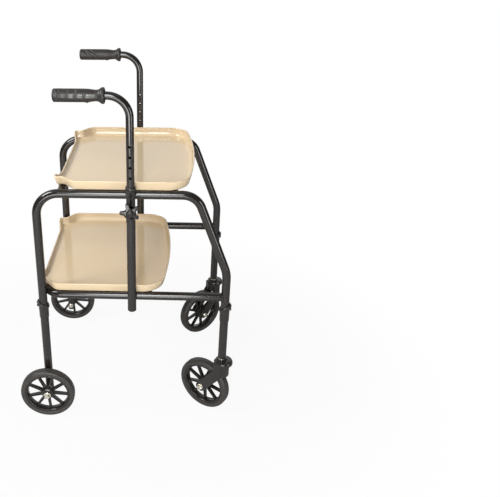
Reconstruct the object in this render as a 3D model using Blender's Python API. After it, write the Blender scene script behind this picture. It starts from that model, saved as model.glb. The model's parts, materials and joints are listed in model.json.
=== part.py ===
"""Household walking trolley: a tube frame on four wheels that carries two lift-off trays.

Metres, +Z up, +X is the way the trolley is pushed, +Y is the user's left.
Inside the root empty, X starts at the rear leg axis and Z at the floor.
"""
import math

import bmesh
import bpy
from mathutils import Matrix, Vector

# Clearances
TOUCH_GAP = 0.0003
SLIDE_GAP = 0.0004
RUNNING_GAP = 0.0003

# Frame layout
FRAME_WIDTH = 0.423
LEG_BASE = 0.4795
TOP_RAIL_Z = 0.664
LOW_RAIL_Z = 0.377
LEG_END_Z = 0.335
FRAME_TUBE_RADIUS = 0.0111
FRAME_TUBE_WALL = 0.0012
REAR_BEND_RADIUS = 0.058
FRONT_BEND_RADIUS = 0.050
KNEE_BEND_RADIUS = 0.090
SLANT_ANGLE = math.radians(21.0)
KNEE_Z = 0.448
LOW_BEND_RADIUS = 0.052
CROSS_TUBE_RADIUS = 0.0095
CROSS_TUBE_WALL = 0.0012
UPPER_REAR_CROSS_X = 0.062
UPPER_FRONT_CROSS_X = 0.342
LOWER_FRONT_CROSS_X = 0.278

# Handle uprights, handles and their star knobs
UPRIGHT_X = 0.237
UPRIGHT_BOTTOM_Z = 0.347
UPRIGHT_TOP_Z = 0.6845
HANDLE_TUBE_RADIUS = 0.0095
HANDLE_TUBE_WALL = 0.0012
HANDLE_BEND_RADIUS = 0.051
HANDLE_BOTTOM_Z = 0.560
GRIP_Z = 0.914
GRIP_REAR_X = 0.063
GRIP_FRONT_X = 0.182
GRIP_RADIUS = 0.0153
GRIP_NECK_RADIUS = 0.0129
GRIP_FLARE_RADIUS = 0.0188
GRIP_END_WALL = 0.005
HOLE_PITCH = 0.026
HEIGHT_HOLE_RADIUS = 0.0036
HOLES_ABOVE_KNOB = 6
HOLES_BELOW_KNOB = 2
BUSH_BOTTOM_Z = 0.669
BUSH_TOP_Z = 0.6945
BUSH_RADIUS = 0.0133
BUSH_TOP_RADIUS = 0.0120
BUSH_FOOT_WALL = 0.0009
KNOB_Z = 0.640
KNOB_BOSS_RADIUS = 0.0085
KNOB_BOSS_LENGTH = 0.0095
KNOB_STUD_RADIUS = 0.0040
KNOB_HUB_RADIUS = 0.0092
KNOB_NECK_LENGTH = 0.0085
KNOB_THICKNESS = 0.0105
KNOB_CAP_HEIGHT = 0.0015
KNOB_ARMS = 5
KNOB_REACH = 0.0250
KNOB_ARM_WIDTH = 0.0076
KNOB_TURN = math.radians(38.0)

# Leg extensions, their ferrules and lock buttons
NECK_RADIUS = 0.0095
NECK_LENGTH = 0.093
NECK_BEND_CLEARANCE = 0.002
EXTENSION_WALL = 0.0013
FERRULE_BOTTOM_Z = 0.304
FERRULE_RING_Z = 0.347
FERRULE_RING_HEIGHT = 0.006
FERRULE_RING_RADIUS = 0.0153
FERRULE_SLEEVE_RADIUS = 0.0133
FERRULE_FOOT_RADIUS = 0.0120
FERRULE_TILT = math.radians(29.0)
BUTTON_WIDTH = 0.0100
BUTTON_HEIGHT = 0.0160
BUTTON_DEPTH = 0.0034
BUTTON_PIN_RADIUS = 0.0028
REAR_EXTENSION_BOTTOM_Z = 0.058
LEG_HOLES = 3

# Wheels and axles
WHEEL_RADIUS = 0.075
TYRE_HALF_WIDTH = 0.0125
TYRE_SEAT_RADIUS = 0.0612
RIM_INNER_RADIUS = 0.0520
RIM_HALF_WIDTH = 0.0100
HUB_HALF_WIDTH = 0.0150
HUB_RADIUS = 0.0165
HUB_END_RADIUS = 0.0115
SPOKE_COUNT = 9
SPOKE_WIDTH = 0.0078
SPOKE_HALF_DEPTH = 0.0065
SPOKE_PHASE = math.radians(-5.0)
AXLE_RADIUS = 0.0040
SLEEVE_RADIUS = 0.0062
BOLT_HEAD_RADIUS = 0.0078
BOLT_HEAD_HEIGHT = 0.0076
NUT_HEIGHT = 0.0066
NUT_RADIUS = 0.0074
SPACER_RADIUS = 0.0090
REAR_SPACER_LENGTH = 0.0028

# Front casters
CASTER_TRAIL = 0.051
CASTER_SWIVEL = math.radians(35.0)
FORK_SIDE_CLEARANCE = 0.0018
FORK_ARM_THICKNESS = 0.0072
FORK_ARM_HALF_WIDTH = 0.0145
FORK_TYRE_CLEARANCE = 0.0045
FORK_HEAD_RADIUS = 0.0245
FORK_HEAD_OFFSET = 0.0060
FORK_HEAD_BOTTOM_Z = 0.168
FORK_CROWN_RADIUS = 0.0213
FORK_HEAD_TOP_Z = 0.180
FORK_CROWN_BOTTOM_Z = 0.130
FORK_CUP_RADIUS = 0.0135
FORK_CUP_HEIGHT = 0.0045
FORK_SEAT_Z = 0.152
STEM_RADIUS = 0.0050
STEM_HEAD_RADIUS = 0.0075
STEM_HEAD_HEIGHT = 0.0070
STEM_GRIP_LENGTH = 0.030
STEM_WASHER_RADIUS = 0.0120
STEM_WASHER_THICKNESS = 0.0024

# Trays, measured from the axis of the rear cross tube that they hook on
TRAY_SIDE_CLEARANCE = 0.0019
TRAY_NECK_X = 0.030
TRAY_NECK_RADIUS = 0.035
TRAY_FRONT_REACH = 0.334
TRAY_FRONT_BOW = 0.011
TRAY_CORNER_RADIUS = 0.062
TRAY_REAR_OVERHANG = 0.0114
TRAY_RIM_HEIGHT = 0.0252
TRAY_REAR_HEIGHT = 0.0140
TRAY_DRAFT = 0.0075
TRAY_FOOT_ROUND = 0.0035
TRAY_WALL = 0.0026
EAR_STEP = 0.0325
EAR_NECK_LENGTH = 0.026
EAR_LENGTH = 0.030
EAR_REACH = 0.0188
EAR_TOP_Z = 0.0236
EAR_CORNER_RADIUS = 0.009
CLIP_LENGTH = 0.014
CLIP_WALL = 0.0026
CLIP_DROP = 0.0020

# Facets
TUBE_SIDES = 16
BEND_STEPS = 5
WHEEL_SEGMENTS = 28
SMALL_SEGMENTS = 16
HOLE_SEGMENTS = 6

# Sizes that follow from the ones above
HALF_WIDTH = FRAME_WIDTH / 2
UPRIGHT_Y = HALF_WIDTH + 2 * FRAME_TUBE_RADIUS + TOUCH_GAP
FRAME_BORE_RADIUS = FRAME_TUBE_RADIUS - FRAME_TUBE_WALL
FERRULE_BORE_RADIUS = FRAME_TUBE_RADIUS + TOUCH_GAP
EXTENSION_TOP_Z = LEG_END_Z - TOUCH_GAP
NECK_BORE_RADIUS = NECK_RADIUS - EXTENSION_WALL
KNEE_LOW_Z = KNEE_Z - KNEE_BEND_RADIUS * math.tan(SLANT_ANGLE / 2)
NECK_TOP_Z = min(EXTENSION_TOP_Z + NECK_LENGTH, KNEE_LOW_Z - NECK_BEND_CLEARANCE)
FORK_INNER_HALF = max(HUB_HALF_WIDTH, TYRE_HALF_WIDTH) + FORK_SIDE_CLEARANCE
FORK_OUTER_HALF = FORK_INNER_HALF + FORK_ARM_THICKNESS
WASHER_BOTTOM_Z = FORK_HEAD_TOP_Z + FORK_CUP_HEIGHT + RUNNING_GAP
FRONT_EXTENSION_BOTTOM_Z = WASHER_BOTTOM_Z + STEM_WASHER_THICKNESS + TOUCH_GAP
REAR_WHEEL_Y = (HALF_WIDTH + FRAME_TUBE_RADIUS + TOUCH_GAP + REAR_SPACER_LENGTH
                + RUNNING_GAP + HUB_HALF_WIDTH)
TRAY_HALF_WIDTH = UPRIGHT_Y - FRAME_TUBE_RADIUS - TRAY_SIDE_CLEARANCE
EAR_OUTER_Y = TRAY_HALF_WIDTH - EAR_STEP
CLIP_Y = HALF_WIDTH - LOW_BEND_RADIUS - CLIP_LENGTH / 2
FRONT_REACH = LEG_BASE + FORK_HEAD_OFFSET * math.cos(CASTER_SWIVEL) + FORK_HEAD_RADIUS
CENTRE_X = (FRONT_REACH - WHEEL_RADIUS) / 2
SIDES = (("left", 1), ("right", -1))

MATERIALS = {
    "bronze_powder_coat": ((0.047, 0.041, 0.038), 0.38, 0.35),
    "black_plastic": ((0.030, 0.028, 0.027), 0.45, 0.0),
    "grip_rubber": ((0.024, 0.024, 0.025), 0.62, 0.0),
    "tyre_rubber": ((0.036, 0.034, 0.033), 0.55, 0.0),
    "cream_plastic": ((0.79, 0.66, 0.45), 0.25, 0.0),
    "zinc": ((0.62, 0.60, 0.55), 0.30, 1.0),
}


def clear_scene():
    for item in list(bpy.data.objects):
        bpy.data.objects.remove(item, do_unlink=True)


def material(name):
    """The finish of one slot, made once and shared."""
    made = bpy.data.materials.get(name)
    if made:
        return made
    colour, roughness, metallic = MATERIALS[name]
    made = bpy.data.materials.new(name)
    made.use_nodes = True
    shader = made.node_tree.nodes["Principled BSDF"]
    shader.inputs["Base Color"].default_value = (*colour, 1.0)
    shader.inputs["Roughness"].default_value = roughness
    shader.inputs["Metallic"].default_value = metallic
    return made


def empty(name, parent=None, location=(0, 0, 0), turn=0.0):
    """A frame that pieces hang on, turned about +Z."""
    made = bpy.data.objects.new(name, None)
    bpy.context.scene.collection.objects.link(made)
    made.parent = parent
    made.location = location
    made.rotation_euler = (0, 0, turn)
    return made


def piece(name, bm, finish, parent, location=(0, 0, 0), turn=(0, 0, 0)):
    """Turns a finished bmesh into a named, shaded object."""
    bmesh.ops.recalc_face_normals(bm, faces=bm.faces)
    mesh = bpy.data.meshes.new(name)
    bm.to_mesh(mesh)
    bm.free()
    mesh.shade_smooth()
    mesh.set_sharp_from_angle(angle=math.radians(35))
    mesh.materials.append(material(finish))
    made = bpy.data.objects.new(name, mesh)
    bpy.context.scene.collection.objects.link(made)
    made.parent = parent
    made.location = location
    made.rotation_euler = turn
    return made


def cutter(name, bm, parent, location=(0, 0, 0), turn=(0, 0, 0)):
    """A hidden shape that other pieces are cut with."""
    made = piece(name, bm, "black_plastic", parent, location, turn)
    made.hide_render = True
    made.display_type = "WIRE"
    return made


def boolean(target, tool, operation="DIFFERENCE"):
    step = target.modifiers.new(tool.name, "BOOLEAN")
    step.operation = operation
    step.solver = "EXACT"
    step.object = tool


def bridge(bm, first, second):
    for i in range(len(first)):
        j = (i + 1) % len(first)
        bm.faces.new((first[i], first[j], second[j], second[i]))


def sweep(stations, normal, sides=TUBE_SIDES, closed=False, bm=None):
    """Rings along a path in one plane: (point, direction, radius) for each.

    A closed sweep joins its last ring to its first, which makes an open-ended tube.
    """
    bm = bm or bmesh.new()
    loops = []
    for point, direction, radius in stations:
        up = direction.cross(normal)
        angles = [2 * math.pi * i / sides for i in range(sides)]
        loops.append([
            bm.verts.new(Vector(point) + radius * (math.cos(a) * normal + math.sin(a) * up))
            for a in angles
        ])
    for first, second in zip(loops, loops[1:]):
        bridge(bm, first, second)
    if closed:
        bridge(bm, loops[-1], loops[0])
    else:
        bm.faces.new(loops[0])
        bm.faces.new(loops[-1])
    return bm


def bent_path(corners, radii, steps):
    """(point, direction) pairs along straight runs with an arc at each inner corner."""
    corners = [Vector(c) for c in corners]
    path = [(corners[0], (corners[1] - corners[0]).normalized())]
    for i, (radius, count) in enumerate(zip(radii, steps), start=1):
        into = (corners[i] - corners[i - 1]).normalized()
        out = (corners[i + 1] - corners[i]).normalized()
        angle = into.angle(out)
        start = corners[i] - into * radius * math.tan(angle / 2)
        side = (out - into * into.dot(out)).normalized()
        for step in range(count + 1):
            a = angle * step / count
            point = start + radius * (math.sin(a) * into + (1 - math.cos(a)) * side)
            path.append((point, math.cos(a) * into + math.sin(a) * side))
    path.append((corners[-1], (corners[-1] - corners[-2]).normalized()))
    return path


def straight_tube(low_z, high_z, radius, bore):
    """An upright tube that is open at both ends."""
    up = Vector((0, 0, 1))
    low, high = Vector((0, 0, low_z)), Vector((0, 0, high_z))
    stations = [(low, up, bore), (low, up, radius), (high, up, radius), (high, up, bore)]
    return sweep(stations, Vector((1, 0, 0)), closed=True)


def lathe(profile, segments=SMALL_SEGMENTS, closed=False, tilt=0.0, bm=None):
    """Turns (radius, z) points about Z. A point may add a third value, its share of the tilt.

    A solid starts and ends at radius 0, and a closed profile is a ring.
    """
    bm = bm or bmesh.new()
    loops = []
    for radius, z, *share in profile:
        lean = (share[0] if share else 0.0) * math.tan(tilt)
        if radius == 0:
            loops.append([bm.verts.new((0, 0, z))])
            continue
        angles = [2 * math.pi * i / segments for i in range(segments)]
        loops.append([
            bm.verts.new((radius * math.cos(a), radius * math.sin(a),
                          z + lean * radius * math.cos(a)))
            for a in angles
        ])
    pairs = list(zip(loops, loops[1:]))
    if closed:
        pairs.append((loops[-1], loops[0]))
    for first, second in pairs:
        if len(first) == 1 or len(second) == 1:
            apex, loop = (first[0], second) if len(first) == 1 else (second[0], first)
            for i in range(segments):
                bm.faces.new((apex, loop[i], loop[(i + 1) % segments]))
        else:
            bridge(bm, first, second)
    return bm


def solid_cylinder(radius, low, high, segments=SMALL_SEGMENTS):
    return lathe([(0, low), (radius, low), (radius, high), (0, high)], segments)


def washer(bore, radius, low, high, segments=SMALL_SEGMENTS):
    return lathe([(bore, low), (radius, low), (radius, high), (bore, high)], segments,
                 closed=True)


def prism(outline, low, high, axes, bm=None):
    """A flat outline pushed from low to high along the third of three axes."""
    bm = bm or bmesh.new()
    u, v, w = axes
    loops = [[bm.verts.new(u * p[0] + v * p[1] + w * depth) for p in outline]
             for depth in (low, high)]
    bridge(bm, loops[0], loops[1])
    bm.faces.new(loops[0])
    bm.faces.new(loops[1])
    return bm


def box(low, high):
    bm = bmesh.new()
    bmesh.ops.create_cube(bm, size=1.0)
    size = [b - a for a, b in zip(low, high)]
    middle = [(a + b) / 2 for a, b in zip(low, high)]
    bmesh.ops.transform(bm, matrix=Matrix.Translation(middle) @ Matrix.Diagonal((*size, 1)),
                        verts=bm.verts)
    return bm


AXIS_X, AXIS_Y, AXIS_Z = Vector((1, 0, 0)), Vector((0, 1, 0)), Vector((0, 0, 1))
ALONG_Y = (-math.pi / 2, 0, 0)
ALONG_X = (0, math.pi / 2, 0)


def outward(sign):
    """The turn that points a piece's own +Z away from the trolley's middle."""
    return (-sign * math.pi / 2, 0, 0)


def hollow(path, radius, bore):
    """Stations out along a tube's outside and back along its bore."""
    out = [(point, direction, radius) for point, direction in path]
    return out + [(point, direction, bore) for point, direction in reversed(path)]


def make_side_frame(side, sign, root):
    """One bent tube: rear leg, top rail, slanted stay and front leg."""
    y = sign * HALF_WIDTH
    slant_run = (TOP_RAIL_Z - KNEE_Z) * math.tan(SLANT_ANGLE)
    corners = [(0, y, LEG_END_Z), (0, y, TOP_RAIL_Z), (LEG_BASE - slant_run, y, TOP_RAIL_Z),
               (LEG_BASE, y, KNEE_Z), (LEG_BASE, y, LEG_END_Z)]
    radii = (REAR_BEND_RADIUS, FRONT_BEND_RADIUS, KNEE_BEND_RADIUS)
    path = bent_path(corners, radii, (BEND_STEPS, BEND_STEPS, BEND_STEPS // 2))
    tube = sweep(hollow(path, FRAME_TUBE_RADIUS, FRAME_BORE_RADIUS), AXIS_Y, closed=True)
    frame = piece(f"side_frame_{side}", tube, "bronze_powder_coat", root)
    for name, x, lock in (("rear", 0, -1), ("front", LEG_BASE, 1)):
        hole = solid_cylinder(BUTTON_PIN_RADIUS + SLIDE_GAP, 0, 2 * FRAME_TUBE_RADIUS, 12)
        place = (x, y, FERRULE_RING_Z)
        boolean(frame, cutter(f"cut_leg_pin_{name}_{side}", hole, root, place,
                              (0, lock * math.pi / 2, 0)))


def leg_cutter(name, root, x, y, low, high):
    """Room for an upright tube of the frame, for the coped ends that meet it."""
    radius = FRAME_TUBE_RADIUS + TOUCH_GAP * 1.2
    return cutter(name, solid_cylinder(radius, low, high, 24), root, (x, y, 0))


def make_lower_frame(root):
    """The bottom rails and rear bar are one U-shaped tube, coped to the front legs."""
    tangent_x = math.sqrt((LOW_BEND_RADIUS + 2 * FRAME_TUBE_RADIUS + TOUCH_GAP) ** 2
                          - LOW_BEND_RADIUS ** 2)
    bar_x = tangent_x - LOW_BEND_RADIUS
    corners = [(LEG_BASE, -HALF_WIDTH, LOW_RAIL_Z), (bar_x, -HALF_WIDTH, LOW_RAIL_Z),
               (bar_x, HALF_WIDTH, LOW_RAIL_Z), (LEG_BASE, HALF_WIDTH, LOW_RAIL_Z)]
    path = bent_path(corners, (LOW_BEND_RADIUS,) * 2, (BEND_STEPS,) * 2)
    bent = sweep(hollow(path, FRAME_TUBE_RADIUS, FRAME_BORE_RADIUS), AXIS_Z, closed=True)
    tube = piece("lower_frame_tube", bent, "bronze_powder_coat", root)
    reach = 2 * FRAME_TUBE_RADIUS
    for side, sign in SIDES:
        y = sign * HALF_WIDTH
        low, high = LOW_RAIL_Z - reach, LOW_RAIL_Z + reach
        boolean(tube, leg_cutter(f"cut_cope_{side}", root, LEG_BASE, y, low, high))
    trim = box((LEG_BASE, -FRAME_WIDTH, LOW_RAIL_Z - reach),
               (LEG_BASE + reach, FRAME_WIDTH, LOW_RAIL_Z + reach))
    boolean(tube, cutter("cut_rail_ends", trim, root))
    return bar_x


def make_cross_tubes(root):
    """Straight bars between the rails, with coped ends."""
    bars = (("cross_tube_upper_rear", UPPER_REAR_CROSS_X, TOP_RAIL_Z),
            ("cross_tube_upper_front", UPPER_FRONT_CROSS_X, TOP_RAIL_Z),
            ("cross_tube_lower_front", LOWER_FRONT_CROSS_X, LOW_RAIL_Z))
    for name, x, z in bars:
        tube = washer(CROSS_TUBE_RADIUS - CROSS_TUBE_WALL, CROSS_TUBE_RADIUS, -HALF_WIDTH,
                      HALF_WIDTH)
        bar = piece(name, tube, "bronze_powder_coat", root, (x, 0, z), ALONG_Y)
        for side, sign in SIDES:
            reach = 2 * CROSS_TUBE_RADIUS
            rail = solid_cylinder(FRAME_TUBE_RADIUS + TOUCH_GAP * 1.2, -reach, reach, 24)
            boolean(bar, cutter(f"cut_{name}_{side}", rail, root, (x, sign * HALF_WIDTH, z),
                                ALONG_X))


def make_upright(side, sign, root):
    """Outer handle tube, its guide bush and the threaded boss of its star knob."""
    y = sign * UPRIGHT_Y
    tube = piece(f"handle_upright_{side}",
                 straight_tube(UPRIGHT_BOTTOM_Z, UPRIGHT_TOP_Z, FRAME_TUBE_RADIUS,
                               FRAME_BORE_RADIUS),
                 "bronze_powder_coat", root, (UPRIGHT_X, y, 0))
    hole = solid_cylinder(KNOB_STUD_RADIUS + SLIDE_GAP, 0, 2 * FRAME_TUBE_RADIUS, 12)
    boolean(tube, cutter(f"cut_stud_{side}", hole, root, (UPRIGHT_X, y, KNOB_Z), outward(sign)))

    bush_bore = FRAME_TUBE_RADIUS + TOUCH_GAP
    lip_bore = HANDLE_TUBE_RADIUS + SLIDE_GAP
    lip_z = UPRIGHT_TOP_Z + TOUCH_GAP
    profile = [(bush_bore, BUSH_BOTTOM_Z), (bush_bore + BUSH_FOOT_WALL, BUSH_BOTTOM_Z),
               (BUSH_RADIUS, lip_z), (BUSH_TOP_RADIUS, BUSH_TOP_Z), (lip_bore, BUSH_TOP_Z),
               (lip_bore, lip_z), (bush_bore, lip_z)]
    piece(f"upright_bush_{side}", lathe(profile, closed=True), "black_plastic", root,
          (UPRIGHT_X, y, 0))

    boss_bore = KNOB_STUD_RADIUS + SLIDE_GAP
    boss = piece(f"knob_boss_{side}",
                 washer(boss_bore, KNOB_BOSS_RADIUS, 0, FRAME_TUBE_RADIUS + KNOB_BOSS_LENGTH),
                 "bronze_powder_coat", root, (UPRIGHT_X, y, KNOB_Z), outward(sign))
    reach = 2 * KNOB_BOSS_RADIUS
    boolean(boss, leg_cutter(f"cut_boss_{side}", root, UPRIGHT_X, y, KNOB_Z - reach,
                             KNOB_Z + reach))


def make_handle(side, sign, root):
    """Inner handle tube with its row of height holes, and the grip on its rear end."""
    y = sign * UPRIGHT_Y
    tube_end_x = GRIP_REAR_X + GRIP_END_WALL + TOUCH_GAP
    corners = [(UPRIGHT_X, y, HANDLE_BOTTOM_Z), (UPRIGHT_X, y, GRIP_Z), (tube_end_x, y, GRIP_Z)]
    path = bent_path(corners, (HANDLE_BEND_RADIUS,), (BEND_STEPS,))
    stations = hollow(path, HANDLE_TUBE_RADIUS, HANDLE_TUBE_RADIUS - HANDLE_TUBE_WALL)
    tube = piece(f"handle_tube_{side}", sweep(stations, AXIS_Y, closed=True),
                 "bronze_powder_coat", root)
    holes = bmesh.new()
    for step in range(-HOLES_BELOW_KNOB, HOLES_ABOVE_KNOB + 1):
        added = bmesh.ops.create_cone(holes, cap_ends=True, segments=HOLE_SEGMENTS,
                                      radius1=HEIGHT_HOLE_RADIUS, radius2=HEIGHT_HOLE_RADIUS,
                                      depth=3 * HANDLE_TUBE_RADIUS)
        place = Matrix.Translation((UPRIGHT_X, y, KNOB_Z + step * HOLE_PITCH))
        bmesh.ops.transform(holes, matrix=place @ Matrix.Rotation(math.pi / 2, 4, "X"),
                            verts=added["verts"])
    boolean(tube, cutter(f"cut_height_holes_{side}", holes, root))

    length = GRIP_FRONT_X - GRIP_REAR_X
    grip_bore = HANDLE_TUBE_RADIUS + TOUCH_GAP
    profile = [(0, 0), (GRIP_RADIUS * 0.80, 0), (GRIP_RADIUS, 0.03 * length),
               (GRIP_RADIUS, 0.66 * length), (GRIP_NECK_RADIUS, 0.82 * length),
               (GRIP_NECK_RADIUS * 1.10, 0.89 * length), (GRIP_FLARE_RADIUS, 0.955 * length),
               (GRIP_FLARE_RADIUS * 0.94, 0.985 * length), (GRIP_NECK_RADIUS, length),
               (grip_bore, length), (grip_bore, GRIP_END_WALL), (0, GRIP_END_WALL)]
    piece(f"grip_{side}", lathe(profile, TUBE_SIDES), "grip_rubber", root,
          (GRIP_REAR_X, y, GRIP_Z), ALONG_X)


def star_outline():
    """Round-ended arms that taper from a small hub."""
    half = KNOB_ARM_WIDTH / 2
    tip = KNOB_REACH - half
    valley = KNOB_HUB_RADIUS * 1.08
    points = []
    for arm in range(KNOB_ARMS):
        heading = 2 * math.pi * arm / KNOB_ARMS
        local = [(tip + half * math.cos(a), half * math.sin(a))
                 for a in (math.pi * (i / 4 - 0.5) for i in range(5))]
        points += [(x * math.cos(heading) - y * math.sin(heading),
                    x * math.sin(heading) + y * math.cos(heading)) for x, y in local]
        between = heading + math.pi / KNOB_ARMS
        points.append((valley * math.cos(between), valley * math.sin(between)))
    return points


def make_height_knob(side, sign, root):
    """Star knob and the steel stud moulded into it, turning on the boss's axis."""
    place = (UPRIGHT_X, sign * UPRIGHT_Y, KNOB_Z)
    turn = outward(sign)
    back = FRAME_TUBE_RADIUS + KNOB_BOSS_LENGTH + TOUCH_GAP
    arms = back + KNOB_NECK_LENGTH
    front = arms + KNOB_THICKNESS
    cap = front + KNOB_CAP_HEIGHT
    hub = lathe([(0, back), (KNOB_HUB_RADIUS * 0.94, back),
                 (KNOB_HUB_RADIUS, front + KNOB_CAP_HEIGHT * 0.4),
                 (KNOB_HUB_RADIUS * 0.7, cap), (0, cap)])
    knob = piece(f"height_knob_{side}", hub, "black_plastic", root, place, turn)
    angle = -sign * KNOB_TURN
    across = Vector((math.cos(angle), math.sin(angle), 0))
    star = prism(star_outline(), arms, front, (across, AXIS_Z.cross(across), AXIS_Z))
    boolean(knob, cutter(f"cut_star_{side}", star, root, place, turn), "UNION")
    socket_end = front - 0.3 * KNOB_THICKNESS
    socket = solid_cylinder(KNOB_STUD_RADIUS + TOUCH_GAP, back - TOUCH_GAP, socket_end, 12)
    boolean(knob, cutter(f"cut_stud_socket_{side}", socket, root, place, turn))
    stud = solid_cylinder(KNOB_STUD_RADIUS, HANDLE_TUBE_RADIUS + SLIDE_GAP,
                          socket_end - TOUCH_GAP, 12)
    piece(f"knob_stud_{side}", stud, "zinc", root, place, turn)


def make_ferrule(name, x, y, lock, root):
    """Sleeve round the joint of leg and extension, with a slanted collar and a lock button."""
    low, ring = FERRULE_BOTTOM_Z, FERRULE_RING_Z
    half = FERRULE_RING_HEIGHT / 2
    profile = [(FERRULE_BORE_RADIUS, low), (FERRULE_FOOT_RADIUS, low),
               (FERRULE_SLEEVE_RADIUS, ring - 4 * half, 0.5),
               (FERRULE_RING_RADIUS, ring - half, 1), (FERRULE_RING_RADIUS, ring + half, 1),
               (FERRULE_FOOT_RADIUS, ring + 1.4 * half, 1),
               (FERRULE_BORE_RADIUS, ring + 1.4 * half, 1)]
    turn = (0, 0, 0 if lock > 0 else math.pi)
    sleeve = piece(f"leg_ferrule_{name}", lathe(profile, closed=True, tilt=FERRULE_TILT),
                   "black_plastic", root, (x, y, 0), turn)
    seat = FERRULE_SLEEVE_RADIUS
    wide, tall = BUTTON_WIDTH / 2, BUTTON_HEIGHT / 2
    window = box((seat, -wide - SLIDE_GAP, ring - tall - SLIDE_GAP),
                 (seat + 2 * BUTTON_DEPTH, wide + SLIDE_GAP, ring + tall * 2))
    hole = solid_cylinder(BUTTON_PIN_RADIUS + SLIDE_GAP, 0, 2 * FRAME_TUBE_RADIUS, 12)
    boolean(sleeve, cutter(f"cut_window_{name}", window, root, (x, y, 0), turn))
    boolean(sleeve, cutter(f"cut_pin_{name}", hole, root, (x, y, ring),
                           (0, lock * math.pi / 2, 0)))

    button = piece(f"lock_button_{name}",
                   box((seat + TOUCH_GAP, -wide, ring - tall),
                       (seat + TOUCH_GAP + BUTTON_DEPTH, wide, ring + tall)),
                   "black_plastic", root, (x, y, 0), turn)
    pin = solid_cylinder(BUTTON_PIN_RADIUS, NECK_RADIUS + SLIDE_GAP, seat + BUTTON_DEPTH / 2, 12)
    boolean(button, cutter(f"cut_button_pin_{name}", pin, root, (x, y, ring),
                           (0, lock * math.pi / 2, 0)), "UNION")


def make_extension(name, x, y, lock, bottom_z, foot_bore, root):
    """Leg extension: a reduced neck with lock holes above a full-width tube."""
    top = EXTENSION_TOP_Z
    foot_top = bottom_z + STEM_GRIP_LENGTH
    outline = [(bottom_z, foot_bore), (bottom_z, FRAME_TUBE_RADIUS), (top, FRAME_TUBE_RADIUS),
               (top, NECK_RADIUS), (NECK_TOP_Z, NECK_RADIUS), (NECK_TOP_Z, NECK_BORE_RADIUS),
               (foot_top, NECK_BORE_RADIUS), (foot_top, foot_bore)]
    if foot_bore == NECK_BORE_RADIUS:
        outline = outline[:-2]
    stations = [(Vector((0, 0, z)), AXIS_Z, radius) for z, radius in outline]
    tube = piece(f"leg_extension_{name}", sweep(stations, AXIS_X, closed=True),
                 "bronze_powder_coat", root, (x, y, 0))
    holes = bmesh.new()
    for step in range(LEG_HOLES):
        added = bmesh.ops.create_cone(holes, cap_ends=True, segments=HOLE_SEGMENTS,
                                      radius1=BUTTON_PIN_RADIUS + SLIDE_GAP,
                                      radius2=BUTTON_PIN_RADIUS + SLIDE_GAP,
                                      depth=2 * NECK_RADIUS)
        place = Matrix.Translation((lock * NECK_RADIUS, 0, FERRULE_RING_Z + step * HOLE_PITCH))
        bmesh.ops.transform(holes, matrix=place @ Matrix.Rotation(math.pi / 2, 4, "Y"),
                            verts=added["verts"])
    boolean(tube, cutter(f"cut_lock_holes_{name}", holes, root, (x, y, 0)))
    return tube


def bolt(head_low, shank_low):
    """Hex-headed bolt whose head starts at head_low and whose shank runs back to shank_low."""
    top = head_low + BOLT_HEAD_HEIGHT
    return lathe([(0, shank_low), (AXLE_RADIUS, shank_low), (AXLE_RADIUS, head_low),
                  (BOLT_HEAD_RADIUS, head_low), (BOLT_HEAD_RADIUS, top - 0.0015),
                  (BOLT_HEAD_RADIUS * 0.72, top), (0, top)], 12)


def make_wheel(name, side, parent, sign):
    """Tyre and spoked rim, centred on the axle."""
    turn = outward(sign)
    seat, width = TYRE_SEAT_RADIUS, TYRE_HALF_WIDTH
    crown = WHEEL_RADIUS
    half = [(seat, 0.9 * width), (0.945 * crown, width), (crown, 0.52 * width)]
    profile = half + [(r, -z) for r, z in reversed(half)]
    piece(f"{name}_tyre_{side}", lathe(profile, WHEEL_SEGMENTS, closed=True), "tyre_rubber",
          parent, turn=turn)

    seat -= TOUCH_GAP
    lip, wide = RIM_INNER_RADIUS, RIM_HALF_WIDTH
    half = [(lip, wide), (seat, wide)]
    rim = lathe(half + [(r, -z) for r, z in reversed(half)], WHEEL_SEGMENTS, closed=True)
    bore = SLEEVE_RADIUS + RUNNING_GAP
    half = [(bore, HUB_HALF_WIDTH), (HUB_END_RADIUS, HUB_HALF_WIDTH),
            (HUB_RADIUS, SPOKE_HALF_DEPTH * 1.3)]
    lathe(half + [(r, -z) for r, z in reversed(half)], SMALL_SEGMENTS, closed=True, bm=rim)
    wheel = piece(f"{name}_rim_{side}", rim, "black_plastic", parent, turn=turn)
    spokes = bmesh.new()
    inner, outer = 0.9 * HUB_RADIUS, lip + 0.0015
    outline = [(inner, -SPOKE_WIDTH / 2), (outer, -SPOKE_WIDTH / 2), (outer, SPOKE_WIDTH / 2),
               (inner, SPOKE_WIDTH / 2)]
    for i in range(SPOKE_COUNT):
        a = 2 * math.pi * i / SPOKE_COUNT - sign * SPOKE_PHASE
        u, v = Vector((math.cos(a), math.sin(a), 0)), Vector((-math.sin(a), math.cos(a), 0))
        prism(outline, -SPOKE_HALF_DEPTH, SPOKE_HALF_DEPTH, (u, v, AXIS_Z), spokes)
    boolean(wheel, cutter(f"cut_{name}_spokes_{side}", spokes, parent, turn=turn), "UNION")


def wheel_sleeve(low, high, shoulder=0.0):
    """Tube on the axle bolt that the hub turns on, with a shoulder of some length below it."""
    bore = AXLE_RADIUS + TOUCH_GAP
    profile = [(bore, low), (SPACER_RADIUS, low), (SPACER_RADIUS, low + shoulder),
               (SLEEVE_RADIUS, low + shoulder), (SLEEVE_RADIUS, high), (bore, high)]
    if not shoulder:
        profile = profile[:1] + [(SLEEVE_RADIUS, low)] + profile[4:]
    return lathe(profile, closed=True)


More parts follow.
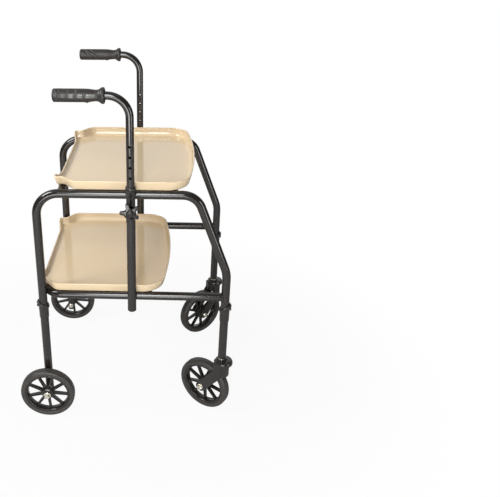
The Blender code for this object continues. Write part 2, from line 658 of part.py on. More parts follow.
def axle_nut(high):
    """Nut whose seat is at height high."""
    bore, low = AXLE_RADIUS + TOUCH_GAP, high - NUT_HEIGHT
    return lathe([(bore, high), (NUT_RADIUS, high), (NUT_RADIUS, low + 0.0012),
                  (NUT_RADIUS * 0.85, low), (bore, low)], 12, closed=True)


def make_rear_leg(side, sign, root):
    y = sign * HALF_WIDTH
    leg = make_extension(f"rear_{side}", 0, y, -1, REAR_EXTENSION_BOTTOM_Z, NECK_BORE_RADIUS, root)
    axle_hole = solid_cylinder(AXLE_RADIUS + TOUCH_GAP, -2 * FRAME_TUBE_RADIUS,
                               2 * FRAME_TUBE_RADIUS, 12)
    boolean(leg, cutter(f"cut_rear_axle_{side}", axle_hole, root, (0, y, WHEEL_RADIUS), ALONG_Y))
    axle = empty(f"rear_axle_{side}", root, (0, sign * REAR_WHEEL_Y, WHEEL_RADIUS))
    make_wheel("rear", side, axle, sign)

    turn = outward(sign)
    leg_axis = HALF_WIDTH - REAR_WHEEL_Y
    sleeve_end = HUB_HALF_WIDTH + RUNNING_GAP
    nut_seat = leg_axis - FRAME_TUBE_RADIUS - TOUCH_GAP
    sleeve = wheel_sleeve(leg_axis + FRAME_TUBE_RADIUS + TOUCH_GAP, sleeve_end, REAR_SPACER_LENGTH)
    piece(f"rear_wheel_sleeve_{side}", sleeve, "zinc", axle, turn=turn)
    shank_end = nut_seat - NUT_HEIGHT - AXLE_RADIUS / 2
    piece(f"rear_axle_bolt_{side}", bolt(sleeve_end + TOUCH_GAP, shank_end), "zinc", axle,
          turn=turn)
    piece(f"rear_axle_nut_{side}", axle_nut(nut_seat), "zinc", axle, turn=turn)


def fork_outline():
    """Side view of the fork's arms: a band from the axle up to the crown."""
    axle = Vector((-CASTER_TRAIL, WHEEL_RADIUS))
    crown = Vector((-0.002, FORK_CROWN_BOTTOM_Z + 0.008))
    along = (crown - axle).normalized()
    across = Vector((-along.y, along.x))
    half = FORK_ARM_HALF_WIDTH
    start = math.atan2(across.y, across.x)
    end = [axle + half * Vector((math.cos(start + a), math.sin(start + a)))
           for a in (math.pi * i / 6 for i in range(7))]
    upper = crown + across * half
    back_x = FORK_HEAD_OFFSET - 0.75 * FORK_HEAD_RADIUS
    shoulder = upper + along * (back_x - upper.x) / along.x
    lower = crown - across * half
    return [(back_x, FORK_HEAD_BOTTOM_Z + 0.002), tuple(shoulder)] + [tuple(p) for p in end] + [
        tuple(lower), (lower.x, FORK_HEAD_BOTTOM_Z + 0.002)]


def make_caster(side, sign, root):
    """Stem bolt in the leg, swivelling fork, and the front wheel with its axle."""
    y = sign * HALF_WIDTH
    make_extension(f"front_{side}", LEG_BASE, y, 1, FRONT_EXTENSION_BOTTOM_Z,
                   STEM_RADIUS + TOUCH_GAP, root)
    swivel = empty(f"caster_axis_{side}", root, (LEG_BASE, y, 0), sign * CASTER_SWIVEL)

    stem_top = FRONT_EXTENSION_BOTTOM_Z + STEM_GRIP_LENGTH - TOUCH_GAP
    seat = FORK_SEAT_Z - RUNNING_GAP
    stem = lathe([(0, seat - STEM_HEAD_HEIGHT), (STEM_HEAD_RADIUS, seat - STEM_HEAD_HEIGHT),
                  (STEM_HEAD_RADIUS, seat), (STEM_RADIUS, seat), (STEM_RADIUS, stem_top),
                  (0, stem_top)], 12)
    piece(f"caster_stem_{side}", stem, "zinc", root, (LEG_BASE, y, 0))
    ring = washer(STEM_RADIUS + TOUCH_GAP, STEM_WASHER_RADIUS, WASHER_BOTTOM_Z,
                  WASHER_BOTTOM_Z + STEM_WASHER_THICKNESS)
    piece(f"caster_washer_{side}", ring, "zinc", root, (LEG_BASE, y, 0))

    head = FORK_HEAD_RADIUS
    flange = lathe([(0, FORK_HEAD_BOTTOM_Z), (head, FORK_HEAD_BOTTOM_Z),
                    (head, FORK_HEAD_TOP_Z - 0.004), (head - 0.004, FORK_HEAD_TOP_Z),
                    (0, FORK_HEAD_TOP_Z)], 20)
    bmesh.ops.translate(flange, vec=(FORK_HEAD_OFFSET, 0, 0), verts=flange.verts)
    fork = piece(f"caster_fork_{side}", flange, "black_plastic", swivel)
    cup_top = FORK_HEAD_TOP_Z + FORK_CUP_HEIGHT
    cup = solid_cylinder(FORK_CUP_RADIUS, FORK_HEAD_TOP_Z - 0.001, cup_top)
    boolean(fork, cutter(f"cut_cup_{side}", cup, swivel), "UNION")
    crown = solid_cylinder(FORK_CROWN_RADIUS, FORK_CROWN_BOTTOM_Z, FORK_HEAD_BOTTOM_Z + 0.003)
    arms = prism(fork_outline(), -FORK_OUTER_HALF, FORK_OUTER_HALF, (AXIS_X, AXIS_Z, AXIS_Y))
    boolean(fork, cutter(f"cut_crown_{side}", crown, swivel), "UNION")
    boolean(fork, cutter(f"cut_arms_{side}", arms, swivel), "UNION")
    clearance = solid_cylinder(WHEEL_RADIUS + FORK_TYRE_CLEARANCE, -FORK_INNER_HALF,
                               FORK_INNER_HALF, 24)
    place = (-CASTER_TRAIL, 0, WHEEL_RADIUS)
    boolean(fork, cutter(f"cut_wheel_room_{side}", clearance, swivel, place, ALONG_Y))
    bore = STEM_RADIUS + RUNNING_GAP
    well = STEM_HEAD_RADIUS + 2 * RUNNING_GAP
    stem_room = lathe([(0, FORK_CROWN_BOTTOM_Z - 0.04), (well, FORK_CROWN_BOTTOM_Z - 0.04),
                       (well, FORK_SEAT_Z), (bore, FORK_SEAT_Z), (bore, cup_top + 0.01),
                       (0, cup_top + 0.01)], 14)
    boolean(fork, cutter(f"cut_stem_room_{side}", stem_room, swivel))
    axle_hole = solid_cylinder(AXLE_RADIUS + TOUCH_GAP, -2 * FORK_OUTER_HALF,
                               2 * FORK_OUTER_HALF, 12)
    boolean(fork, cutter(f"cut_fork_axle_{side}", axle_hole, swivel, place, ALONG_Y))

    axle = empty(f"caster_axle_{side}", swivel, place)
    make_wheel("front", side, axle, sign)
    turn = outward(sign)
    face = FORK_OUTER_HALF + TOUCH_GAP
    piece(f"caster_axle_bolt_{side}", bolt(face, -face - NUT_HEIGHT - AXLE_RADIUS / 2), "zinc",
          axle, turn=turn)
    piece(f"caster_axle_nut_{side}", axle_nut(-face), "zinc", axle, turn=turn)
    half = FORK_INNER_HALF - TOUCH_GAP
    piece(f"front_wheel_sleeve_{side}", wheel_sleeve(-half, half), "zinc", axle, turn=turn)


def moved_in(corners, inset):
    """Corners of an open clockwise outline after each of its edges moves in by one distance."""
    corners = [Vector(c) for c in corners]
    runs = [(b - a).normalized() for a, b in zip(corners, corners[1:])]
    shifts = [Vector((run.y, -run.x)) * inset for run in runs]
    moved = [corners[0] + shifts[0]]
    for i in range(1, len(runs)):
        across = runs[i - 1].cross(runs[i])
        gap = (corners[i] + shifts[i]) - (corners[i] + shifts[i - 1])
        moved.append(corners[i] + shifts[i - 1] + runs[i - 1] * gap.cross(runs[i]) / across)
    moved.append(corners[-1] + shifts[-1])
    return moved


def rounded(corners, radii, steps):
    """Points of an open outline in plan whose inner corners are arcs that fit their edges."""
    fitted = []
    for i, radius in enumerate(radii, start=1):
        into, out = corners[i] - corners[i - 1], corners[i + 1] - corners[i]
        room = 0.46 * min(into.length, out.length)
        fitted.append(min(radius, room / math.tan(into.angle(out) / 2)))
    flat = [(c.x, c.y, 0) for c in corners]
    return [point for point, _ in bent_path(flat, fitted, steps)]


def tray_half_outline(inset):
    """Points from the middle of the rear edge to the middle of the front edge."""
    tight = 0.001
    step_y = EAR_OUTER_Y - EAR_LENGTH
    corners = [(-TRAY_REAR_OVERHANG, 0), (-TRAY_REAR_OVERHANG, step_y - 1.2 * EAR_LENGTH),
               (-EAR_REACH, step_y), (-EAR_REACH, EAR_OUTER_Y),
               (TRAY_NECK_X - EAR_NECK_LENGTH, EAR_OUTER_Y), (TRAY_NECK_X, TRAY_HALF_WIDTH),
               (TRAY_NECK_X + TRAY_CORNER_RADIUS, TRAY_HALF_WIDTH)]
    bends = ((0.080, -1, 1), (0.040, 1, 2), (EAR_CORNER_RADIUS, 1, 3), (0.012, -1, 3),
             (TRAY_NECK_RADIUS, 1, 4))
    radii = [max(radius - turn * inset, tight) for radius, turn, _ in bends]
    points = rounded(moved_in(corners, inset), radii, [count for _, _, count in bends])[:-1]
    radius = TRAY_CORNER_RADIUS - inset
    front = TRAY_FRONT_REACH - TRAY_FRONT_BOW - TRAY_CORNER_RADIUS
    side = TRAY_HALF_WIDTH - TRAY_CORNER_RADIUS
    for step in range(7):
        a = math.pi / 2 * step / 6
        points.append(Vector((front + radius * math.sin(a), side + radius * math.cos(a), 0)))
    for step in range(1, 4):
        share = 1 - step / 3
        bow = TRAY_FRONT_BOW * (1 - share ** 2)
        points.append(Vector((front + radius + bow, side * share, 0)))
    return points


def wall_height(point):
    """Height of the wall over a point of the rim's outline: low along the rear, up to the ears."""
    rise = (point.y - (EAR_OUTER_Y - 1.15 * EAR_LENGTH)) / (0.4 * EAR_LENGTH)
    share = min(max(rise, 0), 1)
    top = EAR_TOP_Z if point.x < 0 else TRAY_RIM_HEIGHT
    return TRAY_REAR_HEIGHT + share * (top - TRAY_REAR_HEIGHT) if point.x < 0 else top


def mirrored(half):
    """A half outline and its mirror image, without doubled points on the centre line."""
    return half + [Vector((p.x, -p.y, p.z)) for p in reversed(half[1:-1])]


def tray_shell():
    """Open tray with drafted walls and a rounded foot, and a low wall along its rear."""
    foot, wall = TRAY_FOOT_ROUND, TRAY_WALL
    heights = [wall_height(p) for p in tray_half_outline(0.0)]
    bm = bmesh.new()

    def loop(inset, levels):
        """A loop on the wall that stands inset from the rim, at one level for each point."""
        made = []
        for top, low, z in zip(tray_half_outline(inset), tray_half_outline(inset + TRAY_DRAFT),
                               levels):
            made.append(low + (top - low) * z / TRAY_RIM_HEIGHT)
            made[-1].z = z
        return [bm.verts.new(p) for p in mirrored(made)]

    def flat(inset, z):
        half = [Vector((p.x, p.y, z)) for p in tray_half_outline(inset)]
        return [bm.verts.new(p) for p in mirrored(half)]

    def level(z):
        return [z] * len(heights)

    loops = [flat(TRAY_DRAFT + foot, 0.0), loop(0.0, level(foot)), loop(0.0, heights),
             loop(wall, heights), loop(wall, level(wall + foot)),
             flat(TRAY_DRAFT + wall + foot, wall)]
    for first, second in zip(loops, loops[1:]):
        bridge(bm, first, second)
    bm.faces.new(loops[0])
    bm.faces.new(loops[-1])
    return bm


def clip_outline(bar_radius, drop):
    """Clip in the XZ plane: a channel for the bar, open below, with a finger on each side."""
    inner = bar_radius + SLIDE_GAP
    outer = inner + CLIP_WALL
    open_z = drop - CLIP_DROP
    channel = [(inner * math.cos(a), drop + inner * math.sin(a))
               for a in (math.pi * i / 8 for i in range(9))]
    top = TRAY_WALL / 2
    return ([(inner, open_z)] + channel
            + [(-inner, open_z), (-outer, open_z), (-outer, TRAY_REAR_HEIGHT),
               (-inner, TRAY_REAR_HEIGHT), (-inner, top), (outer, top), (outer, open_z)])


def make_tray(name, bar_x, bar_z, bar_radius, floor_z, root):
    """Moulded tray that rests on the rails and clips over the rear cross tube."""
    place = (bar_x, 0, floor_z)
    tray = piece(name, tray_shell(), "cream_plastic", root, place)
    outline = clip_outline(bar_radius, bar_z - floor_z)
    for side, sign in SIDES:
        low = sign * CLIP_Y - CLIP_LENGTH / 2
        clip = prism(outline, low, low + CLIP_LENGTH, (AXIS_X, AXIS_Z, AXIS_Y))
        boolean(tray, cutter(f"cut_clip_{side}_{name}", clip, root, place), "UNION")


def build():
    clear_scene()
    root = empty("trolley", location=(-CENTRE_X, 0, 0))
    low_bar_x = make_lower_frame(root)
    make_cross_tubes(root)
    for side, sign in SIDES:
        make_side_frame(side, sign, root)
        make_upright(side, sign, root)
        make_handle(side, sign, root)
        make_height_knob(side, sign, root)
        make_rear_leg(side, sign, root)
        make_caster(side, sign, root)
        for end, x, lock in (("rear", 0, -1), ("front", LEG_BASE, 1)):
            make_ferrule(f"{end}_{side}", x, sign * HALF_WIDTH, lock, root)
    rest = FRAME_TUBE_RADIUS + TOUCH_GAP
    make_tray("upper_tray", UPPER_REAR_CROSS_X, TOP_RAIL_Z, CROSS_TUBE_RADIUS,
              TOP_RAIL_Z + rest, root)
    make_tray("lower_tray", low_bar_x, LOW_RAIL_Z, FRAME_TUBE_RADIUS, LOW_RAIL_Z + rest, root)


build()
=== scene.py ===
"""Looks of a household walking trolley, laid out as a Blender add-on over its packed frame.

Metres, +Z up, +X is the way the trolley is pushed and +Y is the user's left.
"""
import json
import math

import bmesh
import bpy
from bpy.props import (FloatProperty, FloatVectorProperty, IntProperty, PointerProperty,
                       StringProperty)
from mathutils import Matrix, Vector


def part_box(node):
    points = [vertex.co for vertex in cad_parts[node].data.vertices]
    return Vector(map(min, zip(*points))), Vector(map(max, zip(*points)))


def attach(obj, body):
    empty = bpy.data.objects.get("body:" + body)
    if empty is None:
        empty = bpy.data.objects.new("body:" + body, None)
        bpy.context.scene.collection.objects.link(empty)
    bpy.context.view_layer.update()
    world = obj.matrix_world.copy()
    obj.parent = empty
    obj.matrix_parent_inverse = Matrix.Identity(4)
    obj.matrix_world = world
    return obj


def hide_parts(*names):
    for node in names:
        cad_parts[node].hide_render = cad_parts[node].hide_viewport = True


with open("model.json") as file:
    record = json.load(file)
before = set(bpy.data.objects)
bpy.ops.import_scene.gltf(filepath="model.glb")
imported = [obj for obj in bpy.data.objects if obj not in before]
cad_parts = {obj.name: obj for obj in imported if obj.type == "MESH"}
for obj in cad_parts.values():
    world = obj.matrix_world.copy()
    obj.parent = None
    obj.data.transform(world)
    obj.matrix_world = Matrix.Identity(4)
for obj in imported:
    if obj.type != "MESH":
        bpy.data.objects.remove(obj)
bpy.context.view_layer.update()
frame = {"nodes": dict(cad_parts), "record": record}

bl_info = {
    "name": "Walking trolley",
    "version": (1, 0, 0),
    "blender": (4, 5, 0),
    "location": "View3D > Sidebar > Trolley",
    "description": "Dresses the frame, handles, wheels and trays of a household walking trolley",
    "category": "Object",
}

SIDES = (("left", 1), ("right", -1))
AXIS_X, AXIS_Y, AXIS_Z = Vector((1, 0, 0)), Vector((0, 1, 0)), Vector((0, 0, 1))
# An outline in plan goes up along Z. One drawn from the side, in x and z, goes along Y.
IN_PLAN, SIDE_ON = (AXIS_X, AXIS_Y, AXIS_Z), (AXIS_X, AXIS_Z, AXIS_Y)
HERE = Matrix.Identity(4)
CUT, JOIN = "DIFFERENCE", "UNION"
COAT, PLASTIC, RUBBER = "bronze_powder_coat", "black_plastic", "grip_rubber"
TYRE, CREAM, ZINC = "tyre_rubber", "cream_plastic", "zinc"


def middle(node):
    """The middle of a node's box."""
    low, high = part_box(node)
    return (low + high) / 2


def span(node):
    """The length, width and height of a node's box."""
    low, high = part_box(node)
    return high - low


def from_middle(node):
    """How far from the trolley's middle plane a node begins and ends."""
    low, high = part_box(node)
    return sorted((abs(low.y), abs(high.y)))


TUBE_RADIUS = span("handle_upright_right").x / 2
HALF_WIDTH = middle("leg_extension_rear_left").y
REAR_LEG_X = middle("leg_extension_rear_left").x
FRONT_LEG_X = middle("leg_extension_front_left").x
UPRIGHT_X = middle("handle_upright_left").x
UPRIGHT_Y = middle("handle_upright_left").y
TOP_RAIL_Z = middle("cross_tube_upper_front").z
LOW_RAIL_Z = middle("lower_frame_tube").z
WHEEL_RADIUS = span("rear_tyre_right").z / 2
# Each leg with its x and the way that its lock button faces along X.
LEGS = [(side, sign, end, x, lock) for side, sign in SIDES
        for end, x, lock in (("rear", REAR_LEG_X, -1), ("front", FRONT_LEG_X, 1))]

# Sizes that several pieces share
TOUCH_GAP = 0.0003
TUBE_EDGE = 0.0005
STEM_BORE = 0.0053
BOLT_HEAD = 0.0076
FORK_INNER, FORK_OUTER = 0.0168, 0.0240
TRAY_HALF_WIDTH = 0.2209
EAR_Y = TRAY_HALF_WIDTH - 0.0325
EAR_LENGTH = 0.030


# Properties

class TrolleyTubes(bpy.types.PropertyGroup):
    """Sizes of the bent steel tubes"""
    wall: FloatProperty(name="Wall", description="Wall of every steel tube", default=0.0012,
                        min=0.0005, unit="LENGTH")
    rear_bend: FloatProperty(name="Rear bend", description="Centreline radius over the rear leg",
                             default=0.058, unit="LENGTH")
    front_bend: FloatProperty(name="Front bend", description="Centreline radius at the front",
                              default=0.050, unit="LENGTH")
    knee_bend: FloatProperty(name="Knee bend", description="Centreline radius above the front leg",
                             default=0.090, unit="LENGTH")
    knee_height: FloatProperty(name="Knee height", description="Height where stay and leg meet",
                               default=0.448, unit="LENGTH")
    slant: FloatProperty(name="Slant", description="Lean of the front stay from upright",
                         default=math.radians(21), subtype="ANGLE")
    low_bend: FloatProperty(name="Bottom bend", description="Centreline radius of the bottom tube",
                            default=0.052, unit="LENGTH")
    handle_bend: FloatProperty(name="Handle bend", description="Centreline radius of the handle",
                               default=0.051, unit="LENGTH")
    hole_pitch: FloatProperty(name="Hole pitch", description="Spacing of the height holes",
                              default=0.026, unit="LENGTH")
    hole_radius: FloatProperty(name="Hole radius", description="Radius of the height holes",
                               default=0.0036, unit="LENGTH")
    sides: IntProperty(name="Sides", description="Facets around a tube", default=36, min=12)
    colour: StringProperty(name="Coat colour", description="sRGB hex of the powder coat",
                           default="#1f1b18")


class TrolleyMouldings(bpy.types.PropertyGroup):
    """Sizes and colours of the dark mouldings"""
    knob_reach: FloatProperty(name="Knob reach", description="Axis to the tip of a knob arm",
                              default=0.025, unit="LENGTH")
    knob_arm: FloatProperty(name="Knob arm", description="Width of a knob arm", default=0.0076,
                            unit="LENGTH")
    knob_sweep: FloatProperty(name="Knob sweep", description="Fall of the arms towards their tips",
                              default=0.22)
    knob_turn: FloatProperty(name="Knob turn", description="Turn of the knob at rest",
                             default=math.radians(38), subtype="ANGLE")
    collar_tilt: FloatProperty(name="Collar tilt", description="Slant of the leg collars",
                               default=math.radians(29), subtype="ANGLE")
    pad_height: FloatProperty(name="Pad height", description="How far the grip pads stand out",
                              default=0.0007, unit="LENGTH")
    groove_depth: FloatProperty(name="Groove depth", description="Depth of the grip grooves",
                                default=0.0009, unit="LENGTH")
    plastic: StringProperty(name="Plastic", description="sRGB hex of the dark plastic",
                            default="#252220")
    rubber: StringProperty(name="Rubber", description="sRGB hex of the grips", default="#231f1e")
    # The pale pad colour is a painted highlight: it stands in for the lamps' reflection on the
    # smooth pads.
    pads: StringProperty(name="Pads", description="sRGB hex of the finger pads",
                         default="#5c5e59")


class TrolleyWheels(bpy.types.PropertyGroup):
    """Sizes and colours of wheels and casters"""
    spokes: IntProperty(name="Spokes", description="Spokes in a rim", default=9, min=3)
    phase: FloatProperty(name="Spoke phase", description="Angle of the first spoke at rest",
                         default=math.radians(-5), subtype="ANGLE")
    spoke_width: FloatProperty(name="Spoke width", description="Width of a spoke at the rim",
                               default=0.0058, unit="LENGTH")
    spoke_depth: FloatProperty(name="Spoke depth", description="Half the depth of a spoke",
                               default=0.0042, unit="LENGTH")
    rim_inner: FloatProperty(name="Rim inner radius", description="Inside of the rim's ring",
                             default=0.0548, unit="LENGTH")
    seat: FloatProperty(name="Tyre seat", description="Radius that the tyre sits on",
                        default=0.0612, unit="LENGTH")
    trail: FloatProperty(name="Trail", description="Swivel axis to front axle", default=0.051,
                         unit="LENGTH")
    swivel: FloatProperty(name="Swivel", description="Turn of the casters at rest",
                          default=math.radians(35), subtype="ANGLE")
    tyre: StringProperty(name="Tyre", description="sRGB hex of the tyres", default="#322f2c")
    zinc: StringProperty(name="Zinc", description="sRGB hex of the plated steel",
                         default="#ece8dc")


class TrolleyTrays(bpy.types.PropertyGroup):
    """Sizes and colour of the moulded trays"""
    rim_height: FloatProperty(name="Rim height", description="Height of the side walls",
                              default=0.0252, unit="LENGTH")
    rear_height: FloatProperty(name="Rear height", description="Height of the rear wall",
                               default=0.0140, unit="LENGTH")
    ear_height: FloatProperty(name="Ear height", description="Height of the rear ears",
                              default=0.0236, unit="LENGTH")
    draft: FloatProperty(name="Draft", description="How far the walls lean out",
                         default=0.0075, unit="LENGTH")
    foot: FloatProperty(name="Foot round", description="Rounding at the foot of the walls",
                        default=0.0035, unit="LENGTH")
    wall: FloatProperty(name="Wall", description="Thickness of floor and walls", default=0.0026,
                        unit="LENGTH")
    cove: FloatProperty(name="Cove", description="Hollow rounding between wall and floor",
                        default=0.0055, unit="LENGTH")
    bead: FloatProperty(name="Bead radius", description="Radius of the rolled rim",
                        default=0.0021, unit="LENGTH")
    colour: StringProperty(name="Tray colour", description="sRGB hex of the cream plastic",
                           default="#dac5a4")


class TrolleyStudio(bpy.types.PropertyGroup):
    """Place and lens of the camera"""
    camera_place: FloatVectorProperty(name="Camera", description="Where the camera stands",
                                      default=(0.116043, -1.661, 1.283), subtype="TRANSLATION")
    yaw: FloatProperty(name="Yaw", description="Camera heading from +Y", subtype="ANGLE",
                       default=math.radians(-2.6))
    pitch: FloatProperty(name="Pitch", description="Camera tilt below level", subtype="ANGLE",
                         default=math.radians(24.83))
    roll: FloatProperty(name="Roll", description="Camera roll", subtype="ANGLE",
                        default=math.radians(-0.2))
    lens: FloatProperty(name="Lens", description="Focal length in mm", default=46.66)
    shift: FloatVectorProperty(name="Shift", description="Framing shift", size=2,
                               default=(0.2126, -0.0686))


GROUPS = {"trolley_tubes": TrolleyTubes, "trolley_mouldings": TrolleyMouldings,
          "trolley_wheels": TrolleyWheels, "trolley_trays": TrolleyTrays,
          "trolley_studio": TrolleyStudio}


# Materials

def linear(hex_colour):
    """Linear RGBA of an sRGB hex colour."""
    parts = [int(hex_colour[i:i + 2], 16) / 255 for i in (1, 3, 5)]
    return [c / 12.92 if c <= 0.04045 else ((c + 0.055) / 1.055) ** 2.4 for c in parts] + [1.0]


def toned(colour, red, green, blue):
    """A colour with a factor on each of its parts."""
    return [min(c * factor, 1.0) for c, factor in zip(colour, (red, green, blue))] + [1.0]


def add_node(tree, kind, settings=None, **inputs):
    """Adds a node. An input is a value or a socket, and _ in its name stands for a space."""
    made = tree.nodes.new(kind)
    for name, value in (settings or {}).items():
        setattr(made, name, value)
    for name, value in inputs.items():
        key = int(name[1:]) if name[1:].isdigit() else name.replace("_", " ")
        if isinstance(value, bpy.types.NodeSocket):
            tree.links.new(value, made.inputs[key])
        else:
            made.inputs[key].default_value = value
    return made


def start_material(name):
    """An empty material, its node tree, and the piece's own coordinates in metres."""
    made = bpy.data.materials.new(name)
    made.use_nodes = True
    tree = made.node_tree
    tree.nodes.clear()
    place = add_node(tree, "ShaderNodeTexCoord").outputs["Object"]
    return made, tree, place


def drift(tree, place, size, detail, noise, low=0.0, high=1.0):
    """A value from low to high in patches of some size in metres, over a range of noise."""
    patches = add_node(tree, "ShaderNodeTexNoise", Vector=place, Scale=1 / size, Detail=detail)
    value = add_node(tree, "ShaderNodeMapRange", Value=patches.outputs["Fac"],
                     From_Min=noise[0], From_Max=noise[1], To_Min=low, To_Max=high)
    return value.outputs["Result"]


def blend(tree, share, first, second):
    """A colour that goes from the first to the second as a share goes from 0 to 1."""
    made = add_node(tree, "ShaderNodeMix", {"data_type": "RGBA"}, _0=share, _6=first, _7=second)
    return made.outputs[2]


def two_tones(tree, place, size, first, second, noise=(0.35, 0.65), detail=3.0):
    """A colour that drifts between two tones over patches of some size in metres."""
    return blend(tree, drift(tree, place, size, detail, noise), first, second)


def relief(tree, place, size, detail, strength, depth):
    """The surface normal that a pattern of some size in metres raises."""
    pattern = add_node(tree, "ShaderNodeTexNoise", Vector=place, Scale=1 / size, Detail=detail)
    bump = add_node(tree, "ShaderNodeBump", Height=pattern.outputs["Fac"], Strength=strength,
                    Distance=depth)
    return bump.outputs["Normal"]


def finish_material(made, tree, **surface):
    """Ends a material with the shader that its surface has."""
    shader = add_node(tree, "ShaderNodeBsdfPrincipled", **surface)
    add_node(tree, "ShaderNodeOutputMaterial", Surface=shader.outputs["BSDF"])
    return made


def powder_coated_steel(scene):
    """Dark bronze polyester powder coat: a smooth half gloss with a faint orange peel."""
    made, tree, place = start_material("powder_coated_steel")
    base = linear(scene.trolley_tubes.colour)
    colour = two_tones(tree, place, 0.06, base, toned(base, 0.86, 0.86, 0.86))
    # Orange peel is about 1.5 mm across; drawn at 3 mm so that it shows at all.
    normal = relief(tree, place, 0.003, 2.0, 0.03, 0.0002)
    gloss = drift(tree, place, 0.035, 4.0, (0.3, 0.7), 0.24, 0.30)
    return finish_material(made, tree, Base_Color=colour, Roughness=gloss, IOR=1.52,
                           Normal=normal, Specular_IOR_Level=0.1, Coat_Weight=0.34,
                           Coat_IOR=2.2, Coat_Roughness=0.15)


def moulded_nylon(scene):
    """Glass-filled nylon from a spark-eroded mould: near black, with a fine even grain."""
    made, tree, place = start_material("moulded_nylon")
    base = linear(scene.trolley_mouldings.plastic)
    colour = two_tones(tree, place, 0.02, base, toned(base, 0.8, 0.8, 0.8))
    # The grain is near 0.3 mm; drawn at 1.2 mm, the finest that the render holds.
    normal = relief(tree, place, 0.0012, 2.0, 0.2, 0.00015)
    return finish_material(made, tree, Base_Color=colour, Roughness=0.22, IOR=1.53,
                           Normal=normal)


def grip_rubber(scene):
    """Thermoplastic rubber from a matt mould: dull, with glossier finger pads and a painted
    highlight that makes them paler.
    """
    made, tree, place = start_material("grip_rubber")
    base = linear(scene.trolley_mouldings.rubber)
    matt = two_tones(tree, place, 0.012, base, toned(base, 1.3, 1.3, 1.3), (0.45, 0.8))
    pad_polish_and_sheen = add_node(tree, "ShaderNodeAttribute", {"attribute_name": "pad_polish_and_sheen"}).outputs["Fac"]
    # Painted highlight: the pale pad colour stands in for the lamps' reflection on the smooth
    # pads.
    colour = blend(tree, pad_polish_and_sheen, matt, linear(scene.trolley_mouldings.pads))
    gloss = add_node(tree, "ShaderNodeMapRange", Value=pad_polish_and_sheen, To_Min=0.46, To_Max=0.28)
    # The rubber's grain is near 0.5 mm; drawn at 1.3 mm to show.
    normal = relief(tree, place, 0.0013, 3.0, 0.35, 0.0002)
    return finish_material(made, tree, Base_Color=colour, IOR=1.51,
                           Roughness=gloss.outputs["Result"], Normal=normal)


def tyre_polyurethane(scene):
    """Cast polyurethane: satin, with patches of dust and a finely scuffed skin."""
    made, tree, place = start_material("tyre_polyurethane")
    base = linear(scene.trolley_wheels.tyre)
    dust = toned(base, 1.35, 1.35, 1.35)
    colour = two_tones(tree, place, 0.016, base, dust, (0.4, 0.75), 5.0)
    # Scuffs on such a tyre are 1 to 2 mm, and the gloss follows them.
    scuff, detail = 0.0016, 3.0
    normal = relief(tree, place, scuff, detail, 0.18, 0.0002)
    gloss = drift(tree, place, scuff, detail, (0.0, 1.0), 0.38, 0.5)
    return finish_material(made, tree, Base_Color=colour, Roughness=gloss, IOR=1.5,
                           Normal=normal)


def glossy_abs(scene):
    """Cream ABS from a polished mould: opaque and glossy, with slow waves and fine scratches."""
    made, tree, place = start_material("glossy_abs")
    base = linear(scene.trolley_trays.colour)
    colour = two_tones(tree, place, 0.09, base, toned(base, 1.0, 0.985, 0.95))
    # Shrinkage leaves waves about 30 mm long in a moulded tray.
    normal = relief(tree, place, 0.03, 1.0, 0.08, 0.0006)
    # Fine use scratches are 4 mm apart and change only the gloss.
    gloss = drift(tree, place, 0.004, 4.0, (0.3, 0.7), 0.08, 0.13)
    return finish_material(made, tree, Base_Color=colour, Roughness=gloss, IOR=1.53,
                           Normal=normal)


def zinc_plate(scene):
    """Bright zinc on turned and pressed steel: pale metal with a slightly uneven gloss."""
    made, tree, place = start_material("zinc_plate")
    base = linear(scene.trolley_wheels.zinc)
    colour = two_tones(tree, place, 0.004, base, toned(base, 0.86, 0.85, 0.8))
    gloss = drift(tree, place, 0.002, 2.0, (0.0, 1.0), 0.2, 0.36)
    return finish_material(made, tree, Base_Color=colour, Metallic=1.0, Roughness=gloss)


FINISHES = {COAT: powder_coated_steel, PLASTIC: moulded_nylon, RUBBER: grip_rubber,
            TYRE: tyre_polyurethane, CREAM: glossy_abs, ZINC: zinc_plate}
MADE = {}


def finish_of(slot):
    """The material of a slot, made when it is first asked for."""
    if slot not in MADE:
        MADE[slot] = FINISHES[slot](bpy.context.scene)
    return MADE[slot]


# Mesh tools

def shade(mesh, sharp=35):
    """Smooth shading with crisp edges over some angle in degrees."""
    mesh.shade_smooth()
    mesh.set_sharp_from_angle(angle=math.radians(sharp))


def new_object(name, bm, slot, place, sharp=35):
    """A shaded object from a finished bmesh, in the row frame."""
    bmesh.ops.recalc_face_normals(bm, faces=bm.faces)
    mesh = bpy.data.meshes.new(name)
    bm.to_mesh(mesh)
    bm.free()
    shade(mesh, sharp)
    mesh.materials.append(finish_of(slot))
    made = bpy.data.objects.new(name, mesh)
    bpy.context.scene.collection.objects.link(made)
    made.matrix_world = place
    return made


def carve(target, bm, operation, place):
    """Cuts or joins a closed shape with a piece, for good."""
    tool = new_object("tool", bm, ZINC, place)
    step = target.modifiers.new("carve", "BOOLEAN")
    step.operation = operation
    step.solver = "EXACT"
    step.object = tool
    bpy.context.view_layer.update()
    shaped = target.evaluated_get(bpy.context.evaluated_depsgraph_get())
    mesh = bpy.data.meshes.new_from_object(shaped)
    mesh.name = target.name
    target.modifiers.clear()
    target.data = mesh
    shade(mesh)
    bpy.data.objects.remove(tool, do_unlink=True)


def fit(name, bm, slot, body, node, place=HERE, sharp=35, steps=()):
    """Makes a piece, works other shapes into it, and hangs it on its body for its CAD node."""
    made = new_object(name, bm, slot, place, sharp)
    for shape, operation, spot in steps:
        carve(made, shape, operation, spot)
    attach(made, body)
    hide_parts(node)


def bridge(bm, first, second):
    """Faces between two rings of as many points."""
    for i in range(len(first)):
        j = (i + 1) % len(first)
        bm.faces.new((first[i], first[j], second[j], second[i]))


